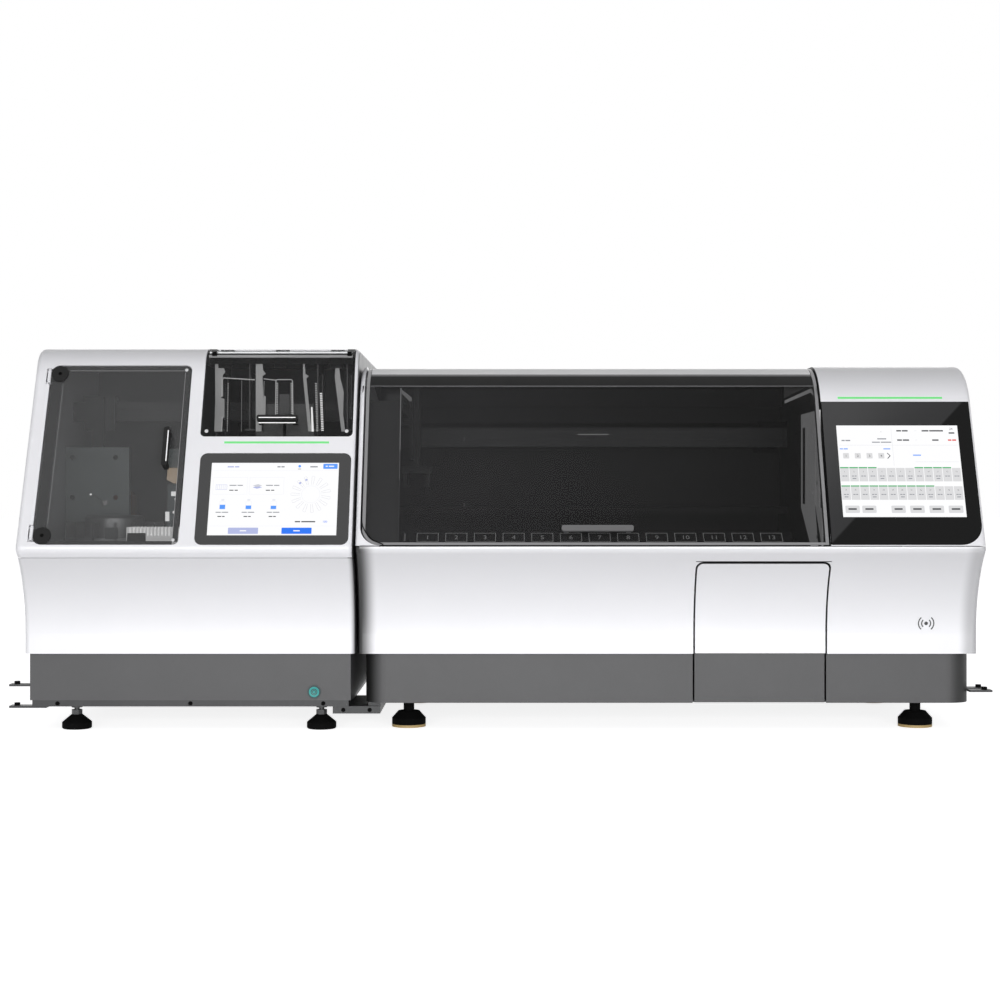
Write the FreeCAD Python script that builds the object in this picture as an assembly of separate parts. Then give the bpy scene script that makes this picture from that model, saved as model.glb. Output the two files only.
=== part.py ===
import FreeCAD
import Part
import math
import os

# Slide stainer with a glass coverslipper beside it.
# Millimetres. X runs to the right, Y to the back, Z up. The origin is on the bench under the centre.
# Depths are measured back from the front lip, heights from the bench.

# Whole pair
DEPTH = 700.0
REAR_REACH = 30.0
COV_W = 625.0
STN_W = 1170.0
MACHINE_GAP = 5.0
COV_TOP = 731.0
STN_TOP = 697.0
WALL = 4.0
SEAM = 1.5
FIT = 0.3
RUN = 0.05

# Side outline of both housings
SKIRT_TOP = 145.0
APRON_SET_BACK = 68.0
APRON_STRAIGHT = 38.0
APRON_R = 215.0
NOSE_R = 15.0
COV_TILT = 23.7
COV_TOP_R = 50.0
STN_TILT = 22.0
STN_TOP_R = 110.0
CORNER_R = 10.0
COV_SEAM_Z = 328.0
STN_SEAM_Z = 350.0
SEAM_LIP_H = 8.0
SEAM_LIP_T = 2.0

# Bases and feet
PLATE_T = 4.0
SKIRT_T = 3.0
COV_SKIRT_INSET = 8.0
COV_SKIRT_BOTTOM = 56.0
SKIRT_SET_BACK = 78.0
SKIRT_REAR_INSET = 20.0
PAN_INSET = 4.0
COV_PAN_BOTTOM = 44.0
STN_SKIRT_INSET_LEFT = 12.0
STN_SKIRT_INSET_RIGHT = 8.0
STN_SKIRT_BOTTOM = 51.0
STN_SKIRT_R = 40.0
COV_FOOT_INSET = 91.0
COV_FOOT_RIGHT_INSET = 67.0
COV_FOOT_DEPTH = 104.0
COV_PAD_R = 28.0
COV_PAD_H = 14.0
COV_FOOT_NECK_R = 10.3
COV_FOOT_CONE_TOP = 27.0
COV_STUD_R = 5.0
COV_NUT_TOP = 36.0
COV_FLANGE_H = 4.0
STN_FOOT_INSET = 93.0
STN_FOOT_RIGHT_INSET = 102.0
STN_FOOT_DEPTH = 135.0
STN_PAD_R = 32.5
STN_PAD_H = 5.0
STN_BOOT_H = 16.7
STN_BOOT_TOP = 30.0
STN_BOOT_TOP_R = 20.5
STN_STEM_R = 10.3
SCREW_R = 4.0
SCREW_HEAD_H = 1.5

# Power button on the coverslipper's skirt
BUTTON_R = 9.6
BUTTON_INSET = 78.5
BUTTON_Z = 72.0
BUTTON_H = 9.0
BUTTON_PROUD = 3.5
BUTTON_RING_R = 12.5
BUTTON_TRAVEL = 3.0

# Coverslipper face, measured along the slope from the nose
DOOR_INSET = 32.0
DOOR_W = 269.0
DOOR_LOW = 1.5
DOOR_TOP_GAP = 7.4
DOOR_R_LEFT = 17.0
DOOR_R_RIGHT = 10.0
PANEL_GAP = 2.0
HINGE_OUT = 3.5
CLAMP_R = 16.5
CLAMP_H = 2.0
BARREL_R = 3.6
BARREL_L = 20.0
BARREL_SHIFT = 5.0
PIN_R = 1.8
EAR_T = 4.0
EAR_R = 3.0
LID_RIGHT_INSET = 9.0
LID_W = 286.0
LID_LOW = 224.6
LID_R = 9.0
LID_BACK = 181.0
LID_PIVOT_BACK = 192.0
LID_PIVOT_DROP = 7.5
LID_ROD_R = 2.6
LID_KNUCKLE_R = 5.5
LID_KNUCKLE_L = 26.0
LEAF_T = 2.4
LID_BLOCK_W = 14.0
LID_OPENING_BACK = 200.0
HANDLE_BAR = 11.0
DOOR_HANDLE_L = 80.0
DOOR_HANDLE_INSET = 32.0
DOOR_HANDLE_LOW = 151.5
HANDLE_STAND_OFF = 25.0
LID_HANDLE_L = 78.0
LID_HANDLE_OFFSET = 3.0
LID_HANDLE_UP = 21.0
COV_BEZEL_W = 285.0
COV_BEZEL_LEN = 187.0
COV_BEZEL_R = 14.0
COV_BEZEL_LOW = 0.5
COV_DISPLAY_W = 240.0
COV_DISPLAY_H = 148.0
COV_DISPLAY_LOW = 19.5
LED_H = 4.0
LED_PROUD = 0.6
COV_LED_W = 199.0
COV_LED_UP = 208.0
FLANGE = 5.0
FLANGE_T = 2.0
GLASS_T = 1.6
GLASS_SUNK = 0.2

# Coverslipper inside
COV_DECK_Z = 337.0
COV_DIVIDER_X = 314.0
DIVIDER_T = 3.0
CAROUSEL_X = 130.0
CAROUSEL_DEPTH = 255.0
CAROUSEL_R = 98.0
CAROUSEL_T = 8.0
CAROUSEL_LIFT = 13.0
CAROUSEL_SLOTS = 14
CAROUSEL_SLOT_W = 5.0
CAROUSEL_SLOT_L = 22.0
CAROUSEL_HUB_R = 58.0
CAROUSEL_HUB_H = 52.0
CAROUSEL_POST_R = 9.0
CAROUSEL_SLIDE_H = 38.0
CAROUSEL_FLANGE_R = 30.0
COV_RAIL_REAR_GAP = 240.0
COV_RAIL_Z = 600.0
COV_RAIL_H = 40.0
COV_RAIL_T = 24.0
COV_CARRIAGE_W = 64.0
COV_HEAD_TRAVEL = 70.0
COV_CARRIAGE_X = 62.0
HOOK_DEPTH = 205.0
HOOK_LEN = 120.0
HOOK_LOW = 572.0
HOOK_HIGH = 712.0
HOOK_T = 2.5
HOOK_INSET = 18.0
HOOK_PITCH = 58.0
HOOK_ARM = 24.0
HOOK_LIP = 18.0
HOOK_BAR_L = 16.0
HOOK_BAR_H = 6.0
BAY_DROP = 34.0
DIVIDER_FRONT = 160.0
WINDOW_FRONT = 340.0
WINDOW_REAR_GAP = 190.0
WINDOW_LOW = 400.0
WINDOW_HIGH = 680.0
BACK_PLATE_FRONT = 356.0
BACK_PLATE_T = 2.0
BACK_PLATE_LEFT = 6.0
BACK_PLATE_W = 117.0
BACK_PLATE_TOP = 543.0
BACK_PLATE_HOLE_R = 5.0
POST_W = 14.0
POST_LOW = 400.0
COMB_LEFT = 186.0
COMB_W = 89.0
COMB_FRONT = 100.0
COMB_L = 65.0
COMB_H = 43.5
COMB_WALL = 8.0
COMB_SLOTS = 12
MAGAZINE_LEFT = 200.0
MAGAZINE_W = 50.0
MAGAZINE_L = 80.0
MAGAZINE_H = 147.0
MAGAZINE_WALL = 6.0
MAGAZINE_REAR_GAP = 110.0
BOTTLE_LEFT = 80.0
BOTTLE_REAR_GAP = 130.0
BOTTLE_R = 36.0
BOTTLE_H = 143.0
BOTTLE_NECK_R = 14.0
BOTTLE_NECK_H = 20.0
BOTTLE_SHOULDER_H = 18.0
RACK_L = 90.0
RACK_W = 54.0
RACK_H = 84.0
RACK_SLIDES = 10
RACK_GAP = 6.0

# Stainer face
RIM_W = 8.5
HOOD_GAP = 3.5
HOOD_INSET = 4.0
HOOD_GLASS_T = 5.0
HOOD_FRAME_T = 14.0
HOOD_SIDE_BAR = 6.0
HOOD_LOW_BAR = 5.0
HOOD_REAR_BAR = 14.0
HOOD_REAR_GAP = 110.0
HOOD_PIVOT_BEHIND = 7.0
HOOD_PIVOT_DROP = 9.0
HOOD_KNUCKLE_R = 5.0
HOOD_KNUCKLE_L = 60.0
HOOD_PIN_R = 2.5
HOOD_CORNER_R = 33.0
HOOD_HANDLE_W = 133.0
HOOD_HANDLE_X = 371.0
HOOD_HANDLE_UP = 24.5
HOOD_HANDLE_H = 11.5
HOOD_HANDLE_OUT = 15.0
HOOD_BAR_T = 6.0
CONSOLE_W = 288.0
CONSOLE_GLASS_LEFT = 1.3
CONSOLE_GLASS_RIGHT = 5.5
CONSOLE_GLASS_LEN = 292.0
CONSOLE_GLASS_R = 41.0
STN_DISPLAY_W = 230.0
STN_DISPLAY_H = 187.0
STN_DISPLAY_LEFT = 26.0
STN_DISPLAY_LOW = 56.0
STN_LED_W = 200.0
STN_LED_LEFT = 33.0

# Load drawer
DRAWER_X = 637.0
DRAWER_W = 246.0
DRAWER_TOP_Z = 316.6
DRAWER_GAP = 3.5
DRAWER_TOP_GAP = 5.0
DRAWER_FRONT_T = 12.0
DRAWER_R = 11.0
DRAWER_TRAY_Z = 158.0
DRAWER_TRAY_H = 92.0
DRAWER_TRAY_L = 380.0
DRAWER_TRAY_INSET = 16.0
RUNNER_T = 5.0
RUNNER_H = 22.0
DRAWER_TRAVEL = 300.0

# Stainer inside
LINER_Z = 262.0
LINER_T = 3.0
LINER_FRONT = 82.0
LINER_REAR_GAP = 70.0
SHELF_UP = 60.0
SHELF_T = 15.0
SHELF_AHEAD = 20.0
LEDGE_Z = 345.0
STATIONS = 13
STATION_PITCH = 55.0
STATION_MIDDLE = 458.0
TANK_W = 46.0
TANK_L = 150.0
TANK_H = 98.0
TANK_T = 3.0
TANK_ROW_1 = 110.0
TANK_ROW_GAP = 22.0
STRIP_W = 720.0
STRIP_FRONT = 30.0
STRIP_BACK = 60.0
STRIP_RISE = 24.0
STRIP_T = 3.0
X_RAIL_REAR_GAP = 170.0
X_RAIL_T = 30.0
X_RAIL_Z = 548.0
X_RAIL_H = 40.0
X_CARRIAGE_W = 70.0
BELT_END_LEFT = 30.0
BELT_END_RIGHT = 60.0
BELT_END_H = 14.0
BELT_INSET = 6.0
BELT_GAP = 16.0
BELT_T = 1.5
BELT_W = 8.0
BELT_UP = 3.0
MOTOR_W = 42.0
MOTOR_H = 50.0
MOTOR_INSET = 40.0
MOTOR_BOSS_R = 11.0
X_PARK = 65.0
X_TRAVEL = 700.0
Y_ARM_Z = 606.0
Y_ARM_H = 34.0
Y_ARM_W = 30.0
Y_ARM_FRONT = 150.0
Y_CARRIAGE_L = 60.0
Y_PARK_AHEAD = 70.0
Y_TRAVEL = 235.0
Z_COLUMN_W = 12.0
Z_COLUMN_L = 165.0
Z_COLUMN_LOW = 505.0
Z_TRAVEL = 80.0
JAW_TRAVEL = 12.0
GUIDE_PLATE_TOP = 608.0
PLATE_SLOT_LOW = 417.0
PLATE_SLOT_L = 160.0

# Between and behind the machines
TAB_REACH = 35.0
DOCK_OVERLAP_LEFT = 44.0
DOCK_OVERLAP_RIGHT = 41.0
DOCK_Z = 30.0
DOCK_H = 12.0
DOCK_FRONT = 84.0
DOCK_DEPTH = 184.0
EXHAUST_R = 50.0
EXHAUST_T = 3.0
EXHAUST_Z = 560.0
EXHAUST_LIP = 2.0
EXHAUST_SEAT = 2.0
STN_EXHAUST_X = 300.0
INLET_W = 48.0
INLET_H = 28.0
INLET_T = 6.0
INLET_Z = 180.0
INLET_RIM = 8.0
INLET_RIM_Z = 4.0
COV_INLET_X = 470.0
CONSOLE_INLET_X = 90.0
BLADE_T = 2.0
BLADE_H = 6.0
BLADE_PITCH = 7.0
FITTING_X = 60.0
FITTING_PITCH = 70.0
FITTING_BOSS_R = 14.0
FITTING_BOSS_T = 8.0
FITTING_R = 9.5
FITTING_BORE_R = 6.5
TAB_T = 4.0
TAB_W = 24.0
TAB_FRONT = 90.0
TAB_PITCH = 42.0
COV_TAB_Z = 81.0
STN_TAB_Z = 70.0
KNOB_R = 5.5
KNOB_H = 5.0
KNOB_INSET = 12.5

# Worked-out places
FRONT = -DEPTH / 2
REAR = DEPTH / 2 - REAR_REACH
CASE_DEPTH = DEPTH - REAR_REACH
COV_X0 = -(COV_W + MACHINE_GAP + STN_W) / 2
COV_X1 = COV_X0 + COV_W
STN_X0 = COV_X1 + MACHINE_GAP
STN_X1 = STN_X0 + STN_W
CONSOLE_X0 = STN_X1 - CONSOLE_W
HOOD_X0 = STN_X0 + RIM_W + HOOD_GAP
HOOD_X1 = CONSOLE_X0 - HOOD_GAP
APRON_Z = SKIRT_TOP + APRON_STRAIGHT
HOOD_BACK = CASE_DEPTH - HOOD_REAR_GAP
HOOD_PIVOT_BACK = HOOD_BACK + HOOD_PIVOT_BEHIND
LINER_BACK = CASE_DEPTH - LINER_REAR_GAP
X_RAIL_DEPTH = CASE_DEPTH - X_RAIL_REAR_GAP
Y_PARK = X_RAIL_DEPTH - Y_PARK_AHEAD
COV_RAIL_DEPTH = CASE_DEPTH - COV_RAIL_REAR_GAP
FAR = 2000.0


def vec(x, y, z):
    return FreeCAD.Vector(x, y, z)


def block(x0, x1, d0, d1, z0, z1):
    """Box between two x values, two depths behind the lip and two heights."""
    return Part.makeBox(x1 - x0, d1 - d0, z1 - z0, vec(x0, FRONT + d0, z0))


def rod_x(r, x0, x1, d, z):
    return Part.makeCylinder(r, x1 - x0, vec(x0, FRONT + d, z), vec(1, 0, 0))


def rod_y(r, x, d0, d1, z):
    return Part.makeCylinder(r, d1 - d0, vec(x, FRONT + d0, z), vec(0, 1, 0))


def rod_z(r, x, d, z0, z1):
    return Part.makeCylinder(r, z1 - z0, vec(x, FRONT + d, z0), vec(0, 0, 1))


def fuse(shapes):
    first = shapes[0]
    if len(shapes) == 1:
        return first
    return first.multiFuse(shapes[1:]).removeSplitter()


def group(shapes):
    """Separate solids kept side by side in one file."""
    return Part.makeCompound(shapes)


def rounded_wire(x0, x1, y0, y1, radii):
    """Rounded rectangle in the XY plane; radii start at low x, low y and go round by high x."""
    r00, r10, r11, r01 = radii
    corners = [
        (x0 + r00, y0 + r00, r00, 180),
        (x1 - r10, y0 + r10, r10, 270),
        (x1 - r11, y1 - r11, r11, 0),
        (x0 + r01, y1 - r01, r01, 90),
    ]
    edges = []
    ends = []
    for cx, cy, r, start in corners:
        points = []
        for turn in (0, 45, 90):
            a = math.radians(start + turn)
            points.append(vec(cx + r * math.cos(a), cy + r * math.sin(a), 0))
        ends.append((points[0], points[2]))
        if r > 0:
            edges.append(Part.Arc(*points).toShape())
    for i in range(4):
        start = ends[i][1]
        end = ends[(i + 1) % 4][0]
        if start.distanceToPoint(end) > 0.001:
            edges.append(Part.LineSegment(start, end).toShape())
    return Part.Wire(Part.__sortEdges__(edges))


def plate(x0, x1, y0, y1, z0, z1, radii=(0, 0, 0, 0)):
    """Flat plate with rounded corners, lying in XY."""
    solid = Part.Face(rounded_wire(x0, x1, y0, y1, radii)).extrude(vec(0, 0, z1 - z0))
    solid.translate(vec(0, 0, z0))
    return solid


class Housing:
    """Outer skin of one machine, with the same side outline along its whole width."""

    def __init__(self, x0, x1, top, tilt, top_r):
        self.x0 = x0
        self.x1 = x1
        self.top = top
        self.tilt = math.radians(tilt)
        self.top_r = top_r
        self.arc_d = APRON_SET_BACK - APRON_R
        self.phi = math.acos((NOSE_R - self.arc_d) / (APRON_R + NOSE_R))
        self.nose_z = APRON_Z + (APRON_R + NOSE_R) * math.sin(self.phi)
        self.face_d = NOSE_R - NOSE_R * math.cos(self.tilt)
        self.face_z = self.nose_z + NOSE_R * math.sin(self.tilt)
        face_top = top - top_r + top_r * math.sin(self.tilt)
        self.face_len = (face_top - self.face_z) / math.cos(self.tilt)
        self.crown_d = self.face_d + self.face_len * math.sin(self.tilt) + top_r * math.cos(self.tilt)
        self.crown_z = top - top_r

    def outline(self, inset, bottom, rear):
        """Closed side outline, moved in from the skin by inset, at x = 0."""
        def polar(cd, cz, r, angle):
            return vec(0, FRONT + cd + r * math.cos(angle), cz + r * math.sin(angle))

        flat = math.pi
        arc_r = APRON_R + inset
        nose_r = NOSE_R - inset
        top_r = self.top_r - inset
        foot = vec(0, FRONT + APRON_SET_BACK + inset, bottom)
        knee = polar(self.arc_d, APRON_Z, arc_r, 0)
        knee_mid = polar(self.arc_d, APRON_Z, arc_r, self.phi / 2)
        chin = polar(self.arc_d, APRON_Z, arc_r, self.phi)
        edges = [
            Part.LineSegment(foot, knee).toShape(),
            Part.Arc(knee, knee_mid, chin).toShape(),
        ]
        face_low = vec(0, FRONT + self.face_d + inset * math.cos(self.tilt),
                       self.face_z - inset * math.sin(self.tilt))
        if nose_r > 0.5:
            nose_mid = polar(NOSE_R, self.nose_z, nose_r, flat + (self.phi - self.tilt) / 2)
            edges.append(Part.Arc(chin, nose_mid, face_low).toShape())
        else:
            edges.append(Part.LineSegment(chin, face_low).toShape())
        face_high = polar(self.crown_d, self.crown_z, top_r, flat - self.tilt)
        crown_mid = polar(self.crown_d, self.crown_z, top_r, (flat * 1.5 - self.tilt) / 2)
        crown = polar(self.crown_d, self.crown_z, top_r, flat / 2)
        back_top = vec(0, FRONT + rear, self.top - inset)
        back_low = vec(0, FRONT + rear, bottom)
        edges.append(Part.LineSegment(face_low, face_high).toShape())
        edges.append(Part.Arc(face_high, crown_mid, crown).toShape())
        edges.append(Part.LineSegment(crown, back_top).toShape())
        edges.append(Part.LineSegment(back_top, back_low).toShape())
        edges.append(Part.LineSegment(back_low, foot).toShape())
        return Part.Wire(edges)

    def solid(self, inset, x0, x1, bottom=SKIRT_TOP, rear=CASE_DEPTH):
        shape = Part.Face(self.outline(inset, bottom, rear)).extrude(vec(x1 - x0, 0, 0))
        shape.translate(vec(x0, 0, 0))
        return shape

    def shell(self, outer, inner, x0, x1, z0, z1, d1):
        """Stretch of skin between two insets, two x values, two heights and back to depth d1."""
        band = self.solid(outer, x0, x1).cut(self.solid(inner, x0 - 1, x1 + 1))
        return band.common(block(x0, x1, -50, d1, z0, z1))

    def skin_edges(self, shape, x):
        """Edges of the side outline at one end, without the bottom and rear ones."""
        edges = []
        for edge in shape.Edges:
            box = edge.BoundBox
            on_end = abs(box.XMin - x) < 0.01 and abs(box.XMax - x) < 0.01
            at_rear = box.YMin > FRONT + CASE_DEPTH - 1
            at_bottom = box.ZMax < SKIRT_TOP + 1
            if on_end and not at_rear and not at_bottom:
                edges.append(edge)
        return edges

    def rounded(self, inset, x0, x1, bottom, rear, radius):
        shape = self.solid(inset, x0, x1, bottom, rear)
        return shape.makeFillet(radius, self.skin_edges(shape, x0) + self.skin_edges(shape, x1))

    def room(self, x0):
        """Space inside the wall, from x0 to the right end."""
        return self.rounded(WALL, x0, self.x1 - WALL, SKIRT_TOP - 1, CASE_DEPTH + 1, CORNER_R - WALL)

    def cover(self, z0, z1):
        """Open-backed cover of the full width, with its end edges rounded over."""
        outer = self.rounded(0, self.x0, self.x1, SKIRT_TOP, CASE_DEPTH, CORNER_R)
        slab = block(self.x0, self.x1, -50, CASE_DEPTH, z0, z1)
        return outer.cut(self.room(self.x0 + WALL)).common(slab)

    def on_face(self, shape):
        """Carry a shape drawn as (x, up the face, out of the face) to its place."""
        placed = shape.copy()
        placed.rotate(vec(0, 0, 0), vec(1, 0, 0), 90 - math.degrees(self.tilt))
        placed.translate(vec(0, FRONT + self.face_d, self.face_z))
        return placed

    def face_plate(self, x0, x1, v0, v1, w0, w1, radii=(0, 0, 0, 0)):
        return self.on_face(plate(x0, x1, v0, v1, w0, w1, radii))

    def face_height(self, v, w):
        """Height above the bench of a point up the face."""
        return self.face_z + v * math.cos(self.tilt) + w * math.sin(self.tilt)

    def face_depth(self, v, w):
        """Depth behind the lip of a point up the face."""
        return self.face_d + v * math.sin(self.tilt) - w * math.cos(self.tilt)


COV = Housing(COV_X0, COV_X1, COV_TOP, COV_TILT, COV_TOP_R)
STN = Housing(STN_X0, STN_X1, STN_TOP, STN_TILT, STN_TOP_R)


def hex_nut(r, x, d, z0, z1):
    points = []
    for i in range(7):
        a = math.radians(60 * i)
        points.append(vec(x + r * math.cos(a), FRONT + d + r * math.sin(a), z0))
    return Part.Face(Part.makePolygon(points)).extrude(vec(0, 0, z1 - z0))


def turned_z(points, x, d):
    """Solid of revolution about an upright axis from (radius, height) points."""
    line = [vec(r, 0, z) for r, z in points]
    line.append(line[0])
    shape = Part.Face(Part.makePolygon(line)).revolve(vec(0, 0, 0), vec(0, 0, 1), 360)
    shape.translate(vec(x, FRONT + d, 0))
    return shape


def skirt(x0, x1, z0, z1, radius):
    """Open ring of sheet metal around a base."""
    d0 = SKIRT_SET_BACK
    d1 = CASE_DEPTH - SKIRT_REAR_INSET
    inner_r = max(radius - SKIRT_T, 0)
    outer = plate(x0, x1, FRONT + d0, FRONT + d1, z0, z1, (radius, radius, 0, 0))
    inner = plate(x0 + SKIRT_T, x1 - SKIRT_T, FRONT + d0 + SKIRT_T, FRONT + d1 - SKIRT_T,
                  z0 - 1, z1 + 1, (inner_r, inner_r, 0, 0))
    return outer.cut(inner)


def base_plate(case):
    """Chassis plate on top of a skirt, filling the cover's footprint."""
    return block(case.x0 + WALL, case.x1 - WALL, APRON_SET_BACK + WALL + CORNER_R,
                 CASE_DEPTH - WALL, SKIRT_TOP, SKIRT_TOP + PLATE_T)


def handle(case, x0, x1, v0, v1, out, upright):
    """Bar with two posts, standing off the face."""
    bar = case.face_plate(x0, x1, v0, v1, out - HANDLE_BAR, out, (4, 4, 4, 4))
    post = HANDLE_BAR - 2
    shapes = [bar]
    if upright:
        for v in (v0 + 2, v1 - post - 2):
            shapes.append(case.face_plate(x0 + 1, x1 - 1, v, v + post, 0, out - HANDLE_BAR + 1))
    else:
        for x in (x0 + 2, x1 - post - 2):
            shapes.append(case.face_plate(x, x + post, v0 + 1, v1 - 1, 0, out - HANDLE_BAR + 1))
    return fuse(shapes)


def flush_panel(case, x0, x1, v0, v1, radii, flange_x0, flange_x1):
    """Panel set flush in the cover, with a flange seated behind the wall."""
    face = case.face_plate(x0, x1, v0, v1, -WALL, 0, radii)
    back_radii = [r + FLANGE if r > 0 else 0 for r in radii]
    back = case.face_plate(flange_x0, flange_x1, v0 + 1, v1 + FLANGE, -WALL - FLANGE_T, -WALL, back_radii)
    return fuse([face, back])


def slots_y(count, x0, pitch, width, d0, d1, z0, z1):
    """Row of upright slots through a plate that faces the back."""
    cuts = []
    for i in range(count):
        x = x0 + i * pitch
        cuts.append(block(x, x + width, d0, d1, z0, z1))
    return cuts


parts = {}

# Coverslipper base and feet
cov_skirt_x0 = COV_X0 + COV_SKIRT_INSET
cov_skirt_x1 = COV_X1 - COV_SKIRT_INSET - 1.5
button_x = COV_X1 - BUTTON_INSET
cov_skirt = skirt(cov_skirt_x0, cov_skirt_x1, COV_SKIRT_BOTTOM, SKIRT_TOP, 0)
button_hole = rod_y(BUTTON_RING_R - 2, button_x, SKIRT_SET_BACK - 1, SKIRT_SET_BACK + SKIRT_T + 1, BUTTON_Z)
parts["coverslipper_base_skirt"] = cov_skirt.cut(button_hole)

pan_x0 = cov_skirt_x0 + PAN_INSET
pan_x1 = cov_skirt_x1 - PAN_INSET
pan_d0 = SKIRT_SET_BACK + PAN_INSET - 3
pan_d1 = CASE_DEPTH - SKIRT_REAR_INSET - 2
pan = block(pan_x0, pan_x1, pan_d0, pan_d1, COV_PAN_BOTTOM, COV_SKIRT_BOTTOM)
pan_room = block(pan_x0 + 3, pan_x1 - 3, pan_d0 + 3, pan_d1 - 3, COV_PAN_BOTTOM + 3, COV_SKIRT_BOTTOM + 1)
cov_pan = pan.cut(pan_room)

pan_screws = []
for share in (0.08, 0.5, 0.92):
    x = pan_x0 + share * (pan_x1 - pan_x0)
    pan_screws.append(rod_y(SCREW_R, x, pan_d0 - SCREW_HEAD_H, pan_d0, (COV_PAN_BOTTOM + COV_SKIRT_BOTTOM) / 2))

cov_feet = []
cov_studs = []
for x in (COV_X0 + COV_FOOT_INSET, COV_X1 - COV_FOOT_RIGHT_INSET):
    for d in (COV_FOOT_DEPTH, CASE_DEPTH - COV_FOOT_DEPTH):
        pad = turned_z([(0, 0), (COV_PAD_R - 2, 0), (COV_PAD_R, 2), (COV_PAD_R, COV_PAD_H - 2),
                        (COV_PAD_R - 2, COV_PAD_H), (COV_FOOT_NECK_R, COV_FOOT_CONE_TOP),
                        (0, COV_FOOT_CONE_TOP)], x, d)
        cov_feet.append(pad)
        nut = hex_nut(COV_FOOT_NECK_R, x, d, COV_FOOT_CONE_TOP, COV_NUT_TOP)
        stud = rod_z(COV_STUD_R, x, d, COV_NUT_TOP - 1, COV_PAN_BOTTOM - COV_FLANGE_H + 1)
        collar = rod_z(COV_FOOT_NECK_R, x, d, COV_PAN_BOTTOM - COV_FLANGE_H, COV_PAN_BOTTOM)
        cov_studs.append(fuse([nut, stud, collar]))
parts["foot_studs"] = group(cov_studs)

# Power button
ring = rod_y(BUTTON_RING_R, button_x, SKIRT_SET_BACK - 2, SKIRT_SET_BACK, BUTTON_Z)
sleeve = rod_y(BUTTON_RING_R - 2, button_x, SKIRT_SET_BACK, SKIRT_SET_BACK + BUTTON_H + 4, BUTTON_Z)
button_bore = rod_y(BUTTON_R + RUN, button_x, SKIRT_SET_BACK - 3, SKIRT_SET_BACK + BUTTON_H + 1, BUTTON_Z)
parts["power_button_ring"] = fuse([ring, sleeve]).cut(button_bore)
button_front = SKIRT_SET_BACK - BUTTON_PROUD
button = rod_y(BUTTON_R, button_x, button_front, button_front + BUTTON_H, BUTTON_Z)
dish = Part.makeSphere(40, vec(button_x, FRONT + button_front - 39.2, BUTTON_Z))
parts["power_button"] = button.cut(dish)

# Coverslipper covers
door_x0 = COV_X0 + DOOR_INSET
door_x1 = door_x0 + DOOR_W
door_v1 = COV.face_len - DOOR_TOP_GAP
lid_x1 = COV_X1 - LID_RIGHT_INSET
lid_x0 = lid_x1 - LID_W
bezel_x0 = lid_x0 + 2
bezel_x1 = bezel_x0 + COV_BEZEL_W
bezel_v1 = COV_BEZEL_LOW + COV_BEZEL_LEN
led_x0 = (bezel_x0 + bezel_x1 - COV_LED_W) / 2
pivot_z = COV_TOP - LID_PIVOT_DROP
hinge_x = door_x0 - HINGE_OUT

seam_lips = []
for outer, z1 in ((WALL - 1, COV_SEAM_Z - SEAM / 2), (WALL + FIT, COV_SEAM_Z + SEAM_LIP_H)):
    seam_lips.append(COV.shell(outer, WALL + FIT + SEAM_LIP_T, COV_X0 + CORNER_R, COV_X1 - CORNER_R,
                               COV_SEAM_Z - SEAM_LIP_H, z1, APRON_SET_BACK))
parts["coverslipper_lower_cover"] = fuse([COV.cover(SKIRT_TOP, COV_SEAM_Z - SEAM / 2)] + seam_lips)

upper = COV.cover(COV_SEAM_Z + SEAM / 2, FAR)
door_cut = COV.face_plate(door_x0 - PANEL_GAP, door_x1 + PANEL_GAP, DOOR_LOW - PANEL_GAP / 2,
                          door_v1 + PANEL_GAP, -WALL - 1, 10,
                          (DOOR_R_LEFT + PANEL_GAP, DOOR_R_RIGHT + PANEL_GAP,
                           DOOR_R_RIGHT + PANEL_GAP, DOOR_R_LEFT + PANEL_GAP))
lid_cut = COV.face_plate(lid_x0 - PANEL_GAP, lid_x1 + PANEL_GAP, LID_LOW - PANEL_GAP,
                         LID_LOW + FAR / 8, -60, 20, (LID_R, LID_R, 0, 0))
lid_cut = lid_cut.common(block(COV_X0, COV_X1, -50, LID_OPENING_BACK, 0, FAR))
bezel_cut = COV.face_plate(bezel_x0 - FIT, bezel_x1 + FIT, COV_BEZEL_LOW - FIT, bezel_v1 + FIT,
                           -WALL - 1, 10, (COV_BEZEL_R,) * 4)
led_cut = COV.face_plate(led_x0, led_x0 + COV_LED_W, COV_LED_UP, COV_LED_UP + LED_H, -WALL - 1, 10)
hinge_cuts = []
clamp_vs = (DOOR_LOW + DOOR_R_LEFT, door_v1 - DOOR_R_LEFT)
barrel_vs = (clamp_vs[0] + BARREL_SHIFT, clamp_vs[1] - BARREL_SHIFT)
for v in barrel_vs:
    hinge_cuts.append(COV.face_plate(hinge_x - 6, hinge_x + 10, v - BARREL_L / 2 - 7,
                                     v + BARREL_L / 2 + 7, -WALL - 1, 10))
for cut in [door_cut, lid_cut, bezel_cut, led_cut] + hinge_cuts:
    upper = upper.cut(cut)
parts["coverslipper_upper_cover"] = upper

cov_rear = block(COV_X0 + WALL, COV_X1 - WALL, CASE_DEPTH - 4, CASE_DEPTH - 2, SKIRT_TOP + PLATE_T,
                 COV_TOP - WALL).common(COV.room(COV_X0 + WALL))
for row in range(3):
    z = 230 + 34 * row
    cov_rear = cov_rear.cut(group(slots_y(16, COV_X0 + 60, 9, 4, CASE_DEPTH - 6, CASE_DEPTH, z, z + 26)))
cov_exhaust_x = COV_X0 + COV_W / 2
hole_r = EXHAUST_R - EXHAUST_T - EXHAUST_LIP
cov_rear = cov_rear.cut(rod_y(hole_r, cov_exhaust_x, CASE_DEPTH - 6, CASE_DEPTH, EXHAUST_Z))

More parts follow.
